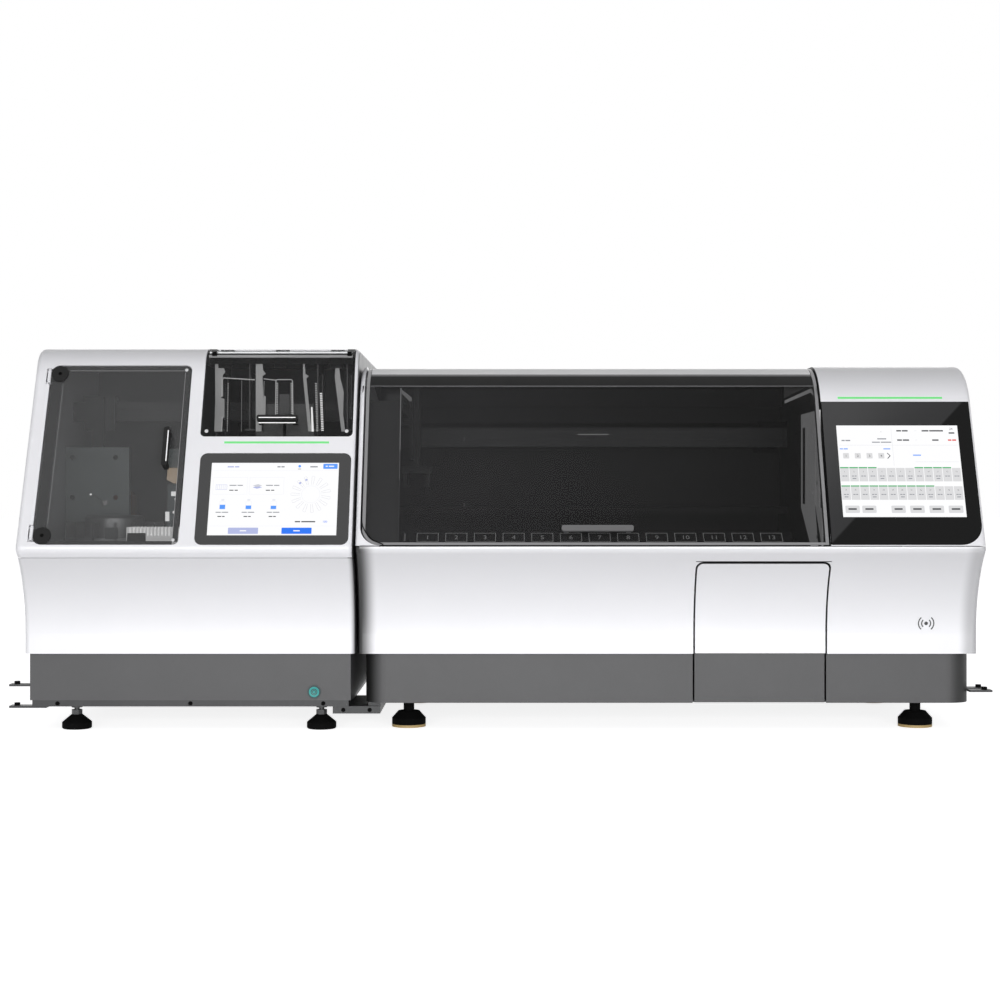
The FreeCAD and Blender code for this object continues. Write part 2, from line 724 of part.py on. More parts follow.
# Coverslipper screen and light strip
bezel = flush_panel(COV, bezel_x0, bezel_x1, COV_BEZEL_LOW, bezel_v1, (COV_BEZEL_R,) * 4,
                    bezel_x0 - FLANGE, min(bezel_x1 + FLANGE, COV_X1 - CORNER_R))
display_x0 = (bezel_x0 + bezel_x1 - COV_DISPLAY_W) / 2
pocket = COV.face_plate(display_x0, display_x0 + COV_DISPLAY_W, COV_DISPLAY_LOW,
                        COV_DISPLAY_LOW + COV_DISPLAY_H, -GLASS_T, 1)
parts["coverslipper_screen_bezel"] = bezel.cut(pocket)
cov_display = COV.face_plate(display_x0, display_x0 + COV_DISPLAY_W, COV_DISPLAY_LOW,
                             COV_DISPLAY_LOW + COV_DISPLAY_H, -GLASS_T, -GLASS_SUNK)
cov_light = COV.face_plate(led_x0, led_x0 + COV_LED_W, COV_LED_UP, COV_LED_UP + LED_H, -WALL, LED_PROUD)

# Coverslipper door
door = COV.face_plate(door_x0, door_x1, DOOR_LOW, door_v1, -WALL, 0,
                      (DOOR_R_LEFT, DOOR_R_RIGHT, DOOR_R_RIGHT, DOOR_R_LEFT))
parts["door_glass"] = door
clamps = []
barrels = []
lugs = []
pins = []
clamp_x = door_x0 + DOOR_R_LEFT
for v in clamp_vs:
    disc = rod_z(CLAMP_R, 0, 0, 0, CLAMP_H)
    disc.translate(vec(clamp_x, v - FRONT, 0))
    clamps.append(COV.on_face(disc))
for v in barrel_vs:
    low = v - BARREL_L / 2
    barrel = Part.makeCylinder(BARREL_R, BARREL_L, vec(hinge_x, low, 0), vec(0, 1, 0))
    leaf = Part.makeBox(clamp_x + 8 - hinge_x, BARREL_L, 2.5, vec(hinge_x, low, -WALL - 2.5))
    web = Part.makeBox(2.4, BARREL_L, WALL + 2.5, vec(hinge_x - 1.2, low, -WALL - 2.5))
    gap_to_glass = Part.makeBox(20, BARREL_L + 2, WALL + 20, vec(door_x0 - 0.4, low - 1, -WALL))
    bore = Part.makeCylinder(PIN_R + RUN, BARREL_L + 2, vec(hinge_x, low - 1, 0), vec(0, 1, 0))
    barrels.append(COV.on_face(fuse([barrel, web, leaf]).cut(gap_to_glass).cut(bore)))
    for start in (low - EAR_T - FIT, low + BARREL_L + FIT):
        eye = Part.makeCylinder(EAR_R, EAR_T, vec(hinge_x, start, 0), vec(0, 1, 0))
        strut = Part.makeBox(EAR_R + 1.5, EAR_T, WALL + 3, vec(hinge_x - EAR_R, start, -WALL - 3))
        foot = Part.makeBox(17, EAR_T, 3, vec(hinge_x - 14, start, -WALL - 3))
        lugs.append(COV.on_face(fuse([eye, strut, foot])))
    pins.append(COV.on_face(Part.makeCylinder(PIN_R, BARREL_L + 2 * EAR_T, vec(hinge_x, low - EAR_T, 0),
                                              vec(0, 1, 0))))
parts["door_hinge_clamps"] = group(clamps + barrels)
door_lugs = [lug.cut(group(pins)) for lug in lugs]
handle_x1 = door_x1 - DOOR_HANDLE_INSET + HANDLE_BAR / 2
parts["door_handle"] = handle(COV, handle_x1 - HANDLE_BAR, handle_x1, DOOR_HANDLE_LOW,
                              DOOR_HANDLE_LOW + DOOR_HANDLE_L, HANDLE_STAND_OFF, True)

# Coverslipper lid
lid_shell = COV.shell(0, WALL, lid_x0, lid_x1, COV_SEAM_Z, FAR, LID_BACK)
lid_shape = COV.face_plate(lid_x0, lid_x1, LID_LOW, LID_LOW + FAR / 8, -60, 20, (LID_R, LID_R, 0, 0))
parts["lid_glass"] = lid_shell.common(lid_shape)
lid_handle_x0 = (lid_x0 + lid_x1 - LID_HANDLE_L) / 2 + LID_HANDLE_OFFSET
parts["lid_handle"] = handle(COV, lid_handle_x0, lid_handle_x0 + LID_HANDLE_L, LID_LOW + LID_HANDLE_UP,
                             LID_LOW + LID_HANDLE_UP + HANDLE_BAR, HANDLE_STAND_OFF, False)
rod_x0 = lid_x0 + 1
rod_x1 = lid_x1 - 1
lid_rod = rod_x(LID_ROD_R, rod_x0, rod_x1, LID_PIVOT_BACK, pivot_z)
hinge_blocks = []
for x in (rod_x0, rod_x1 - LID_BLOCK_W):
    body = block(x, x + LID_BLOCK_W, LID_BACK + 3, LID_OPENING_BACK, COV_TOP - WALL - 12, COV_TOP - 1)
    seat = block(x, x + LID_BLOCK_W, LID_BACK + 3, LID_OPENING_BACK + 12, COV_TOP - WALL - 12, COV_TOP - WALL)
    hinge_blocks.append(fuse([body, seat]).cut(lid_rod))
knuckles = []
for share in (0.12, 0.5, 0.88):
    x = rod_x0 + share * (rod_x1 - rod_x0) - LID_KNUCKLE_L / 2
    tube = rod_x(LID_KNUCKLE_R, x, x + LID_KNUCKLE_L, LID_PIVOT_BACK, pivot_z)
    leaf = COV.shell(WALL, WALL + LEAF_T, x, x + LID_KNUCKLE_L, COV_SEAM_Z, FAR, LID_PIVOT_BACK - 3)
    leaf = leaf.common(block(x, x + LID_KNUCKLE_L, LID_BACK - 24, LID_PIVOT_BACK, 0, FAR))
    bore = rod_x(LID_ROD_R + RUN, x - 1, x + LID_KNUCKLE_L + 1, LID_PIVOT_BACK, pivot_z)
    knuckles.append(fuse([tube, leaf]).cut(bore))
parts["lid_hinge_knuckles"] = group(knuckles)

# Coverslipper inside
deck = block(COV_X0 + WALL, COV_X1 - WALL, APRON_SET_BACK, CASE_DEPTH - 4, COV_DECK_Z, COV_DECK_Z + 3)
divider_x = COV_X0 + COV_DIVIDER_X
divider = block(divider_x, divider_x + DIVIDER_T, DIVIDER_FRONT, CASE_DEPTH - 4, COV_DECK_Z + 3,
                COV_TOP - WALL - 24)
window = block(divider_x - 1, divider_x + DIVIDER_T + 1, WINDOW_FRONT, CASE_DEPTH - WINDOW_REAR_GAP,
               WINDOW_LOW, WINDOW_HIGH)
divider = divider.cut(window)
back_x0 = COV_X0 + BACK_PLATE_LEFT
back_x1 = back_x0 + BACK_PLATE_W
back_d1 = BACK_PLATE_FRONT + BACK_PLATE_T
back_plate = block(back_x0, back_x1, BACK_PLATE_FRONT, back_d1, COV_DECK_Z + 3, BACK_PLATE_TOP)
back_post = block(back_x1, back_x1 + POST_W, BACK_PLATE_FRONT, BACK_PLATE_FRONT + POST_W, POST_LOW,
                  BACK_PLATE_TOP)
for x, z in ((0.12, 0.9), (0.88, 0.9), (0.12, 0.5), (0.88, 0.5)):
    back_plate = back_plate.cut(rod_y(BACK_PLATE_HOLE_R, back_x0 + x * BACK_PLATE_W, BACK_PLATE_FRONT - 1,
                                      back_d1 + 1, COV_DECK_Z + z * (BACK_PLATE_TOP - COV_DECK_Z)))

car_x = COV_X0 + CAROUSEL_X
car_z = COV_DECK_Z + 3 + CAROUSEL_LIFT
post = rod_z(CAROUSEL_POST_R, car_x, CAROUSEL_DEPTH, COV_DECK_Z + 3, car_z + CAROUSEL_HUB_H - 12)
flange = rod_z(CAROUSEL_FLANGE_R, car_x, CAROUSEL_DEPTH, COV_DECK_Z + 3, car_z - 1)
parts["carousel_post"] = fuse([post, flange])
wheel = rod_z(CAROUSEL_R, car_x, CAROUSEL_DEPTH, car_z, car_z + CAROUSEL_T)
slot_cuts = []
slides = []
for i in range(CAROUSEL_SLOTS):
    angle = 360.0 * i / CAROUSEL_SLOTS
    slot = block(car_x + CAROUSEL_R - CAROUSEL_SLOT_L, car_x + CAROUSEL_R + 1,
                 CAROUSEL_DEPTH - CAROUSEL_SLOT_W / 2, CAROUSEL_DEPTH + CAROUSEL_SLOT_W / 2,
                 car_z - 1, car_z + CAROUSEL_T + 1)
    slot.rotate(vec(car_x, FRONT + CAROUSEL_DEPTH, 0), vec(0, 0, 1), angle)
    slot_cuts.append(slot)
    low = car_x + CAROUSEL_R - CAROUSEL_SLOT_L
    slide = block(low, low + CAROUSEL_SLOT_L - 1, CAROUSEL_DEPTH - CAROUSEL_SLOT_W / 2,
                  CAROUSEL_DEPTH + CAROUSEL_SLOT_W / 2, car_z + 1, car_z + CAROUSEL_SLIDE_H)
    slide.rotate(vec(car_x, FRONT + CAROUSEL_DEPTH, 0), vec(0, 0, 1), angle)
    slides.append(slide)
wheel_bore = rod_z(CAROUSEL_POST_R + RUN, car_x, CAROUSEL_DEPTH, car_z - 1, car_z + CAROUSEL_T + 1)
wheel = wheel.cut(group(slot_cuts)).cut(wheel_bore)
parts["carousel_racks"] = group(slides)
hub = turned_z([(CAROUSEL_POST_R + RUN, car_z + CAROUSEL_T), (CAROUSEL_HUB_R, car_z + CAROUSEL_T),
                (CAROUSEL_HUB_R, car_z + CAROUSEL_HUB_H - 6), (CAROUSEL_HUB_R - 6, car_z + CAROUSEL_HUB_H),
                (0, car_z + CAROUSEL_HUB_H), (0, car_z + CAROUSEL_HUB_H - 10),
                (CAROUSEL_POST_R + RUN, car_z + CAROUSEL_HUB_H - 10)], car_x, CAROUSEL_DEPTH)
parts["carousel_wheel"] = fuse([wheel, hub])

comb_x0 = COV_X0 + COMB_LEFT
comb_z1 = COV_DECK_Z + 3 + COMB_H
comb = block(comb_x0, comb_x0 + COMB_W, COMB_FRONT, COMB_FRONT + COMB_L, COV_DECK_Z + 3, comb_z1)
comb_pitch = (COMB_W - COMB_WALL) / COMB_SLOTS
comb_cuts = [block(comb_x0 + COMB_WALL, comb_x0 + COMB_W - COMB_WALL, COMB_FRONT + COMB_WALL,
                   COMB_FRONT + COMB_L - COMB_WALL, COV_DECK_Z + 3 + COMB_WALL, comb_z1 + 1)]
for i in range(COMB_SLOTS):
    x = comb_x0 + COMB_WALL / 2 + (i + 0.25) * comb_pitch
    comb_cuts.append(block(x, x + comb_pitch / 2, COMB_FRONT - 1, COMB_FRONT + COMB_L + 1,
                           comb_z1 - 2 * COMB_WALL, comb_z1 + 1))
for cut in comb_cuts:
    comb = comb.cut(cut)
parts["slide_comb_tray"] = comb

rail_x0 = COV_X0 + WALL
rail_x1 = COV_X1 - WALL
cov_rail = block(rail_x0, rail_x1, COV_RAIL_DEPTH, COV_RAIL_DEPTH + COV_RAIL_T, COV_RAIL_Z,
                 COV_RAIL_Z + COV_RAIL_H)
groove = block(rail_x0 - 1, rail_x1 + 1, COV_RAIL_DEPTH - 1, COV_RAIL_DEPTH + 6, COV_RAIL_Z + 15,
               COV_RAIL_Z + 25)
cov_rail = cov_rail.cut(groove)
carriage_x = COV_X0 + COV_CARRIAGE_X
carriage = block(carriage_x - COV_CARRIAGE_W / 2, carriage_x + COV_CARRIAGE_W / 2,
                 COV_RAIL_DEPTH - 12.5, COV_RAIL_DEPTH - 0.5, COV_RAIL_Z - 20, COV_RAIL_Z + COV_RAIL_H + 12)
shoe = block(carriage_x - COV_CARRIAGE_W / 2, carriage_x + COV_CARRIAGE_W / 2, COV_RAIL_DEPTH - 0.5,
             COV_RAIL_DEPTH + COV_RAIL_T, COV_RAIL_Z + COV_RAIL_H + 0.5, COV_RAIL_Z + COV_RAIL_H + 12)
parts["pick_head_carriage"] = fuse([carriage, shoe])
head_z = COV_RAIL_Z - 70
column = block(carriage_x - 12, carriage_x + 12, COV_RAIL_DEPTH - 30, COV_RAIL_DEPTH - 13, head_z,
               COV_RAIL_Z + COV_RAIL_H + 8)
foot = block(carriage_x - 26, carriage_x + 26, COV_RAIL_DEPTH - 46, COV_RAIL_DEPTH - 13, head_z - 12, head_z)
cups = []
for dx in (-18, 18):
    cups.append(turned_z([(0, head_z - 12), (3, head_z - 12), (3, head_z - 22), (6, head_z - 30),
                          (0, head_z - 30)], carriage_x + dx, COV_RAIL_DEPTH - 30))
parts["pick_head"] = fuse([column, foot] + cups)

hooks = []
hook_xs = (lid_x0 + HOOK_INSET, lid_x0 + HOOK_INSET + HOOK_PITCH, lid_x1 - HOOK_INSET - HOOK_PITCH,
           lid_x1 - HOOK_INSET)
for x in hook_xs:
    blade = block(x - HOOK_T / 2, x + HOOK_T / 2, HOOK_DEPTH, HOOK_DEPTH + HOOK_LEN, HOOK_LOW, HOOK_HIGH)
    notch = block(x - HOOK_T, x + HOOK_T, HOOK_DEPTH + HOOK_ARM, HOOK_DEPTH + HOOK_LEN - HOOK_ARM,
                  HOOK_LOW + HOOK_ARM, HOOK_HIGH - HOOK_ARM)
    tab = block(x - HOOK_LIP / 2, x + HOOK_LIP / 2, HOOK_DEPTH, HOOK_DEPTH + HOOK_LIP, HOOK_LOW, HOOK_LOW + HOOK_T)
    top = block(x - HOOK_LIP / 2, x + HOOK_LIP / 2, HOOK_DEPTH, HOOK_DEPTH + HOOK_LEN, HOOK_HIGH - HOOK_T,
                HOOK_HIGH)
    hooks.append(fuse([blade.cut(notch), tab, top]))
hook_bar_d = HOOK_DEPTH + (HOOK_LEN - HOOK_BAR_L) / 2
hook_bar = block(lid_x0 - HOOK_BAR_H, COV_X1 - CORNER_R, hook_bar_d, hook_bar_d + HOOK_BAR_L, HOOK_HIGH,
                 COV_TOP - WALL)
parts["rack_hooks"] = fuse(hooks + [hook_bar])

bay_z = HOOK_LOW - BAY_DROP
bay = block(divider_x + DIVIDER_T, COV_X1 - WALL, 180, COV_RAIL_DEPTH - 55, bay_z, bay_z + 3)
parts["coverslipper_deck"] = fuse([deck, divider, bay, back_plate, back_post])


def slide_rack(x, d, z):
    """Open rack whose two side combs hold the slides upright."""
    outer = block(x, x + RACK_W, d, d + RACK_L, z, z + RACK_H)
    room = block(x + 4, x + RACK_W - 4, d + 4, d + RACK_L - 4, z + 3, z + RACK_H + 1)
    side_open = block(x - 1, x + RACK_W + 1, d + 14, d + RACK_L - 14, z + 16, z + RACK_H - 10)
    shape = outer.cut(room).cut(side_open)
    pitch = (RACK_L - 16) / RACK_SLIDES
    for i in range(RACK_SLIDES):
        low = d + 8 + i * pitch
        shape = shape.cut(block(x + 2, x + RACK_W - 2, low, low + pitch * 0.5, z + 2, z + RACK_H + 1))
    return shape


rack_x = (lid_x0 + lid_x1) / 2
parts["slide_racks"] = group([
    slide_rack(rack_x - RACK_W - RACK_GAP / 2, HOOK_DEPTH + 15, bay_z + 3),
    slide_rack(rack_x + RACK_GAP / 2, HOOK_DEPTH + 15, bay_z + 3),
])

mag_x0 = COV_X0 + MAGAZINE_LEFT
mag_d1 = CASE_DEPTH - MAGAZINE_REAR_GAP
mag_z0 = COV_DECK_Z + 3
magazine = block(mag_x0, mag_x0 + MAGAZINE_W, mag_d1 - MAGAZINE_L, mag_d1, mag_z0, mag_z0 + MAGAZINE_H)
magazine_room = block(mag_x0 + MAGAZINE_WALL, mag_x0 + MAGAZINE_W - MAGAZINE_WALL, mag_d1 - MAGAZINE_L - 1,
                      mag_d1 - MAGAZINE_WALL, mag_z0 + MAGAZINE_WALL, mag_z0 + MAGAZINE_H + 1)
parts["coverslip_magazine"] = magazine.cut(magazine_room)
bottle_z1 = mag_z0 + BOTTLE_H
shoulder_z = bottle_z1 - BOTTLE_NECK_H
parts["mountant_bottle"] = turned_z([(0, mag_z0), (BOTTLE_R - 2, mag_z0), (BOTTLE_R, mag_z0 + 2),
                                     (BOTTLE_R, shoulder_z - BOTTLE_SHOULDER_H), (BOTTLE_NECK_R, shoulder_z),
                                     (BOTTLE_NECK_R, bottle_z1), (0, bottle_z1)],
                                    COV_X0 + BOTTLE_LEFT, CASE_DEPTH - BOTTLE_REAR_GAP)

# Stainer base and feet
stn_skirt_x0 = STN_X0 + STN_SKIRT_INSET_LEFT
stn_skirt_x1 = STN_X1 - STN_SKIRT_INSET_RIGHT
drawer_x0 = STN_X0 + DRAWER_X
drawer_x1 = drawer_x0 + DRAWER_W
drawer_hole_x0 = drawer_x0 - DRAWER_GAP
drawer_hole_x1 = drawer_x1 + DRAWER_GAP
stn_skirt = skirt(stn_skirt_x0, stn_skirt_x1, STN_SKIRT_BOTTOM, SKIRT_TOP, STN_SKIRT_R)
skirt_hole = block(drawer_hole_x0, drawer_hole_x1, 0, SKIRT_SET_BACK + SKIRT_T + 1, 0, SKIRT_TOP + 1)
parts["stainer_base_skirt"] = stn_skirt.cut(skirt_hole)
kick_notch = block(drawer_hole_x0, drawer_hole_x1, 0, SKIRT_SET_BACK + DRAWER_FRONT_T + 2, SKIRT_TOP - 1,
                   SKIRT_TOP + PLATE_T + 1)
stn_pan_d0 = SKIRT_SET_BACK + SKIRT_T + DRAWER_FRONT_T
stn_pan = plate(stn_skirt_x0 + SKIRT_T, stn_skirt_x1 - SKIRT_T, FRONT + stn_pan_d0,
                FRONT + CASE_DEPTH - SKIRT_REAR_INSET - SKIRT_T, STN_SKIRT_BOTTOM, STN_SKIRT_BOTTOM + 4,
                (STN_SKIRT_R, STN_SKIRT_R, 0, 0))
parts["chassis_plates"] = group([base_plate(COV), cov_pan, base_plate(STN).cut(kick_notch), stn_pan])

boots = []
foot_pads = []
for x in (STN_X0 + STN_FOOT_INSET, STN_X1 - STN_FOOT_RIGHT_INSET):
    for d in (STN_FOOT_DEPTH, CASE_DEPTH - STN_FOOT_DEPTH):
        foot_pads.append(rod_z(STN_PAD_R, x, d, 0, STN_PAD_H))
        boots.append(turned_z([(0, STN_PAD_H), (STN_PAD_R - 1, STN_PAD_H), (STN_PAD_R, STN_PAD_H + 1),
                               (STN_PAD_R, STN_BOOT_H), (STN_BOOT_TOP_R, STN_BOOT_TOP),
                               (STN_STEM_R, STN_BOOT_TOP), (STN_STEM_R, STN_SKIRT_BOTTOM),
                               (0, STN_SKIRT_BOTTOM)], x, d))
parts["stainer_foot_pads"] = group(foot_pads)
parts["levelling_feet"] = group(cov_feet + boots)

# Stainer covers
drawer_hole = block(drawer_hole_x0, drawer_hole_x1, -60, APRON_SET_BACK + WALL + 1, 0,
                    DRAWER_TOP_Z + DRAWER_TOP_GAP)
apron = STN.cover(SKIRT_TOP, STN_SEAM_Z - SEAM / 2)
parts["stainer_front_apron"] = apron.cut(drawer_hole)

stn_round = STN.rounded(0, STN_X0, STN_X1, SKIRT_TOP, CASE_DEPTH, CORNER_R)
stn_low = STN_SEAM_Z + SEAM / 2
rim_slab = stn_round.common(block(STN_X0, STN_X0 + RIM_W, -50, CASE_DEPTH, stn_low, FAR))
rim_x = STN_X0 + RIM_W
corner = HOOD_CORNER_R + HOOD_GAP
rim_corner = STN.face_plate(rim_x - 1, rim_x + corner, 0, corner, -HOOD_FRAME_T, 0)
rim_corner = rim_corner.cut(STN.face_plate(rim_x, rim_x + 3 * corner, 0, 3 * corner, -FAR / 8, 10,
                                           (corner, 0, 0, 0)))
left_rim = fuse([rim_slab, rim_corner])

console_skin = stn_round.common(block(CONSOLE_X0, STN_X1, -50, CASE_DEPTH, stn_low, FAR))
console_room = STN.room(CONSOLE_X0 - 50).common(block(CONSOLE_X0 + WALL, FAR, -50, FAR, 0, FAR))
glass_x0 = CONSOLE_X0 + CONSOLE_GLASS_LEFT
glass_x1 = STN_X1 - CONSOLE_GLASS_RIGHT
glass_low = 0.8
glass_v1 = glass_low + CONSOLE_GLASS_LEN
glass_cut = STN.face_plate(CONSOLE_X0 - 1, glass_x1 + FIT, glass_low - FIT, glass_v1 + FIT,
                           -WALL - 1, 10, (0, CONSOLE_GLASS_R, 0, 0))
console_led_x0 = CONSOLE_X0 + STN_LED_LEFT
console_led_v = glass_v1 + 6
console_led_cut = STN.face_plate(console_led_x0, console_led_x0 + STN_LED_W, console_led_v,
                                 console_led_v + LED_H, -WALL - 4, 10)
console = console_skin.cut(console_room).cut(glass_cut).cut(console_led_cut)
parts["console_housing"] = console

console_glass = flush_panel(STN, glass_x0, glass_x1, glass_low, glass_v1, (0, CONSOLE_GLASS_R, 0, 0),
                            CONSOLE_X0 + WALL, STN_X1 - CORNER_R)
stn_display_x0 = CONSOLE_X0 + STN_DISPLAY_LEFT
stn_pocket = STN.face_plate(stn_display_x0, stn_display_x0 + STN_DISPLAY_W, STN_DISPLAY_LOW,
                            STN_DISPLAY_LOW + STN_DISPLAY_H, -GLASS_T, 1)
parts["console_glass"] = console_glass.cut(stn_pocket)
stn_display = STN.face_plate(stn_display_x0, stn_display_x0 + STN_DISPLAY_W, STN_DISPLAY_LOW,
                             STN_DISPLAY_LOW + STN_DISPLAY_H, -GLASS_T, -GLASS_SUNK)
parts["display_screens"] = group([cov_display, stn_display])
stn_light = STN.face_plate(console_led_x0, console_led_x0 + STN_LED_W, console_led_v,
                           console_led_v + LED_H, -WALL, LED_PROUD)
parts["light_strips"] = group([cov_light, stn_light])

hood_pivot_z = STN_TOP - HOOD_PIVOT_DROP
rear_cover_d = HOOD_PIVOT_BACK + 6
rear_cover = block(rim_x, CONSOLE_X0, rear_cover_d, CASE_DEPTH, STN_TOP - 60, STN_TOP)
rear_room = block(rim_x - 1, CONSOLE_X0 + 1, rear_cover_d + WALL, CASE_DEPTH + 1, STN_TOP - 61, STN_TOP - WALL)
parts["stainer_rim_cover"] = fuse([left_rim, rear_cover.cut(rear_room)])

stn_rear = block(STN_X0 + WALL, STN_X1 - WALL, CASE_DEPTH - 4, CASE_DEPTH - 2, SKIRT_TOP + PLATE_T,
                 STN_SEAM_Z - SEAM)
stn_rear_top = block(rim_x, CONSOLE_X0, CASE_DEPTH - 4, CASE_DEPTH - 2, STN_SEAM_Z - SEAM, STN_TOP - WALL)
console_rear = block(CONSOLE_X0 + WALL, STN_X1 - WALL, CASE_DEPTH - 4, CASE_DEPTH - 2, STN_SEAM_Z - SEAM,
                     STN_TOP - WALL).common(console_room)
for row in range(3):
    z = 400 + 34 * row
    console_rear = console_rear.cut(group(slots_y(18, CONSOLE_X0 + 60, 9, 4, CASE_DEPTH - 6, CASE_DEPTH,
                                                  z, z + 26)))
stn_exhaust_x = STN_X0 + STN_EXHAUST_X
stn_back = fuse([stn_rear, stn_rear_top])
stn_back = stn_back.cut(rod_y(hole_r, stn_exhaust_x, CASE_DEPTH - 6, CASE_DEPTH, EXHAUST_Z))
parts["rear_panels"] = group([cov_rear, stn_back, console_rear])

# Hood
hood_low = STN.face_height(0, 0)
hood_window_x0 = HOOD_X0 + HOOD_SIDE_BAR
hood_window_x1 = HOOD_X1 - HOOD_SIDE_BAR
hood_corner = (HOOD_CORNER_R, 0, 0, 0)
hood_solid = STN.shell(HOOD_INSET, HOOD_INSET + HOOD_FRAME_T, HOOD_X0, HOOD_X1, hood_low, FAR, HOOD_BACK)
hood_mask = STN.face_plate(HOOD_X0, HOOD_X1, 2, FAR / 2, -FAR / 4, 20, hood_corner)
hood_solid = hood_solid.common(hood_mask)
window_mask = STN.face_plate(hood_window_x0, hood_window_x1, 2 + HOOD_LOW_BAR, FAR / 2, -FAR / 4, 20,
                             (HOOD_CORNER_R - HOOD_SIDE_BAR, 0, 0, 0))
window_mask = window_mask.common(block(HOOD_X0, HOOD_X1, -50, HOOD_BACK - HOOD_REAR_BAR, 0, FAR))
hood_frame = hood_solid.cut(window_mask)
hood_skin = STN.shell(HOOD_INSET, HOOD_INSET + HOOD_GLASS_T, HOOD_X0, HOOD_X1, hood_low, FAR, HOOD_BACK)
parts["hood_glass"] = hood_skin.common(window_mask)
hood_handle_x0 = STN_X0 + HOOD_HANDLE_X + HOOD_GAP + RIM_W
hood_bar = STN.face_plate(hood_handle_x0, hood_handle_x0 + HOOD_HANDLE_W, HOOD_HANDLE_UP,
                          HOOD_HANDLE_UP + HOOD_HANDLE_H, HOOD_HANDLE_OUT - HOOD_INSET - HOOD_BAR_T,
                          HOOD_HANDLE_OUT - HOOD_INSET, (4, 4, 4, 4))
hood_posts = []
for x in (hood_handle_x0 + 4, hood_handle_x0 + HOOD_HANDLE_W - 13):
    hood_posts.append(STN.face_plate(x, x + 9, HOOD_HANDLE_UP + 1.5, HOOD_HANDLE_UP + HOOD_HANDLE_H - 1.5,
                                     -HOOD_INSET, HOOD_HANDLE_OUT - HOOD_INSET - 1))
parts["hood_handle"] = fuse([hood_bar] + hood_posts)
hood_knuckles = []
hood_pins = []
hood_ears = []
hood_w = HOOD_X1 - HOOD_X0
for share in (0.1, 0.9):
    x = HOOD_X0 + share * hood_w - HOOD_KNUCKLE_L / 2
    tube = rod_x(HOOD_KNUCKLE_R, x, x + HOOD_KNUCKLE_L, HOOD_PIVOT_BACK, hood_pivot_z)
    arm = block(x, x + HOOD_KNUCKLE_L, HOOD_BACK, HOOD_PIVOT_BACK, hood_pivot_z - 5, hood_pivot_z + 5)
    bore = rod_x(HOOD_PIN_R + RUN, x - 1, x + HOOD_KNUCKLE_L + 1, HOOD_PIVOT_BACK, hood_pivot_z)
    hood_knuckles.append(fuse([tube, arm]).cut(bore))
    pin = rod_x(HOOD_PIN_R, x - 12, x + HOOD_KNUCKLE_L + 12, HOOD_PIVOT_BACK, hood_pivot_z)
    hood_pins.append(pin)
    for ear_x in (x - 12, x + HOOD_KNUCKLE_L + 1):
        ear = block(ear_x, ear_x + 11, HOOD_PIVOT_BACK - 4, rear_cover_d, hood_pivot_z - 10, hood_pivot_z + 4)
        hood_ears.append(ear.cut(pin))
parts["hood_frame"] = fuse([hood_frame] + hood_knuckles)
parts["hinge_blocks"] = group(door_lugs + hinge_blocks + hood_ears)
parts["hinge_pins"] = group(pins + [lid_rod] + hood_pins)

# Load drawer
front_skin = STN.shell(0, DRAWER_FRONT_T, drawer_x0 - 5, drawer_x1 + 5, SKIRT_TOP + 1, DRAWER_TOP_Z + 5, 200)
front_mask = plate(drawer_x0, drawer_x1, 0, DRAWER_TOP_Z, 0, FAR, (0, 0, DRAWER_R, DRAWER_R))
front_mask.rotate(vec(0, 0, 0), vec(1, 0, 0), 90)
front_mask.translate(vec(0, FAR / 2, 0))
parts["drawer_front"] = front_skin.common(front_mask)
kick = block(drawer_x0, drawer_x1, SKIRT_SET_BACK, SKIRT_SET_BACK + DRAWER_FRONT_T, STN_SKIRT_BOTTOM + 1,
             SKIRT_TOP)
kick_tab = block(drawer_x0 + 30, drawer_x1 - 30, APRON_SET_BACK + DRAWER_FRONT_T,
                 SKIRT_SET_BACK + DRAWER_FRONT_T, SKIRT_TOP, SKIRT_TOP + 50)
kick_room = block(drawer_x0, drawer_x1, APRON_SET_BACK, SKIRT_SET_BACK, SKIRT_TOP, SKIRT_TOP + 1)
parts["drawer_kick_panel"] = fuse([kick, kick_tab]).cut(kick_room)
tray_x0 = drawer_x0 + DRAWER_TRAY_INSET
tray_x1 = drawer_x1 - DRAWER_TRAY_INSET
tray_d0 = APRON_SET_BACK + DRAWER_FRONT_T
tray_z1 = DRAWER_TRAY_Z + DRAWER_TRAY_H
drawer_tray = block(tray_x0, tray_x1, tray_d0, tray_d0 + DRAWER_TRAY_L, DRAWER_TRAY_Z, tray_z1)
drawer_room = block(tray_x0 + 3, tray_x1 - 3, tray_d0 + 14, tray_d0 + DRAWER_TRAY_L - 3, DRAWER_TRAY_Z + 3,
                    tray_z1 + 1)
kick_space = block(tray_x0 - 1, tray_x1 + 1, tray_d0 - 1, SKIRT_SET_BACK + DRAWER_FRONT_T, 0,
                   SKIRT_TOP + 50)
parts["drawer_tray"] = drawer_tray.cut(drawer_room).cut(kick_space)
runners = []
runner_z = DRAWER_TRAY_Z + 20
for x0, x1 in ((tray_x0 - RUNNER_T - FIT, tray_x0 - FIT), (tray_x1 + FIT, tray_x1 + FIT + RUNNER_T)):
    rail = block(x0, x1, tray_d0 + 16, tray_d0 + DRAWER_TRAY_L, runner_z, runner_z + RUNNER_H)
    stand_x0 = x0 - 4 if x0 < tray_x0 else x0
    stand = block(stand_x0, stand_x0 + RUNNER_T + 4, tray_d0 + 16, tray_d0 + DRAWER_TRAY_L,
                  SKIRT_TOP + PLATE_T, runner_z + 2)
    runners.append(fuse([rail, stand]))
parts["drawer_runners"] = group(runners)

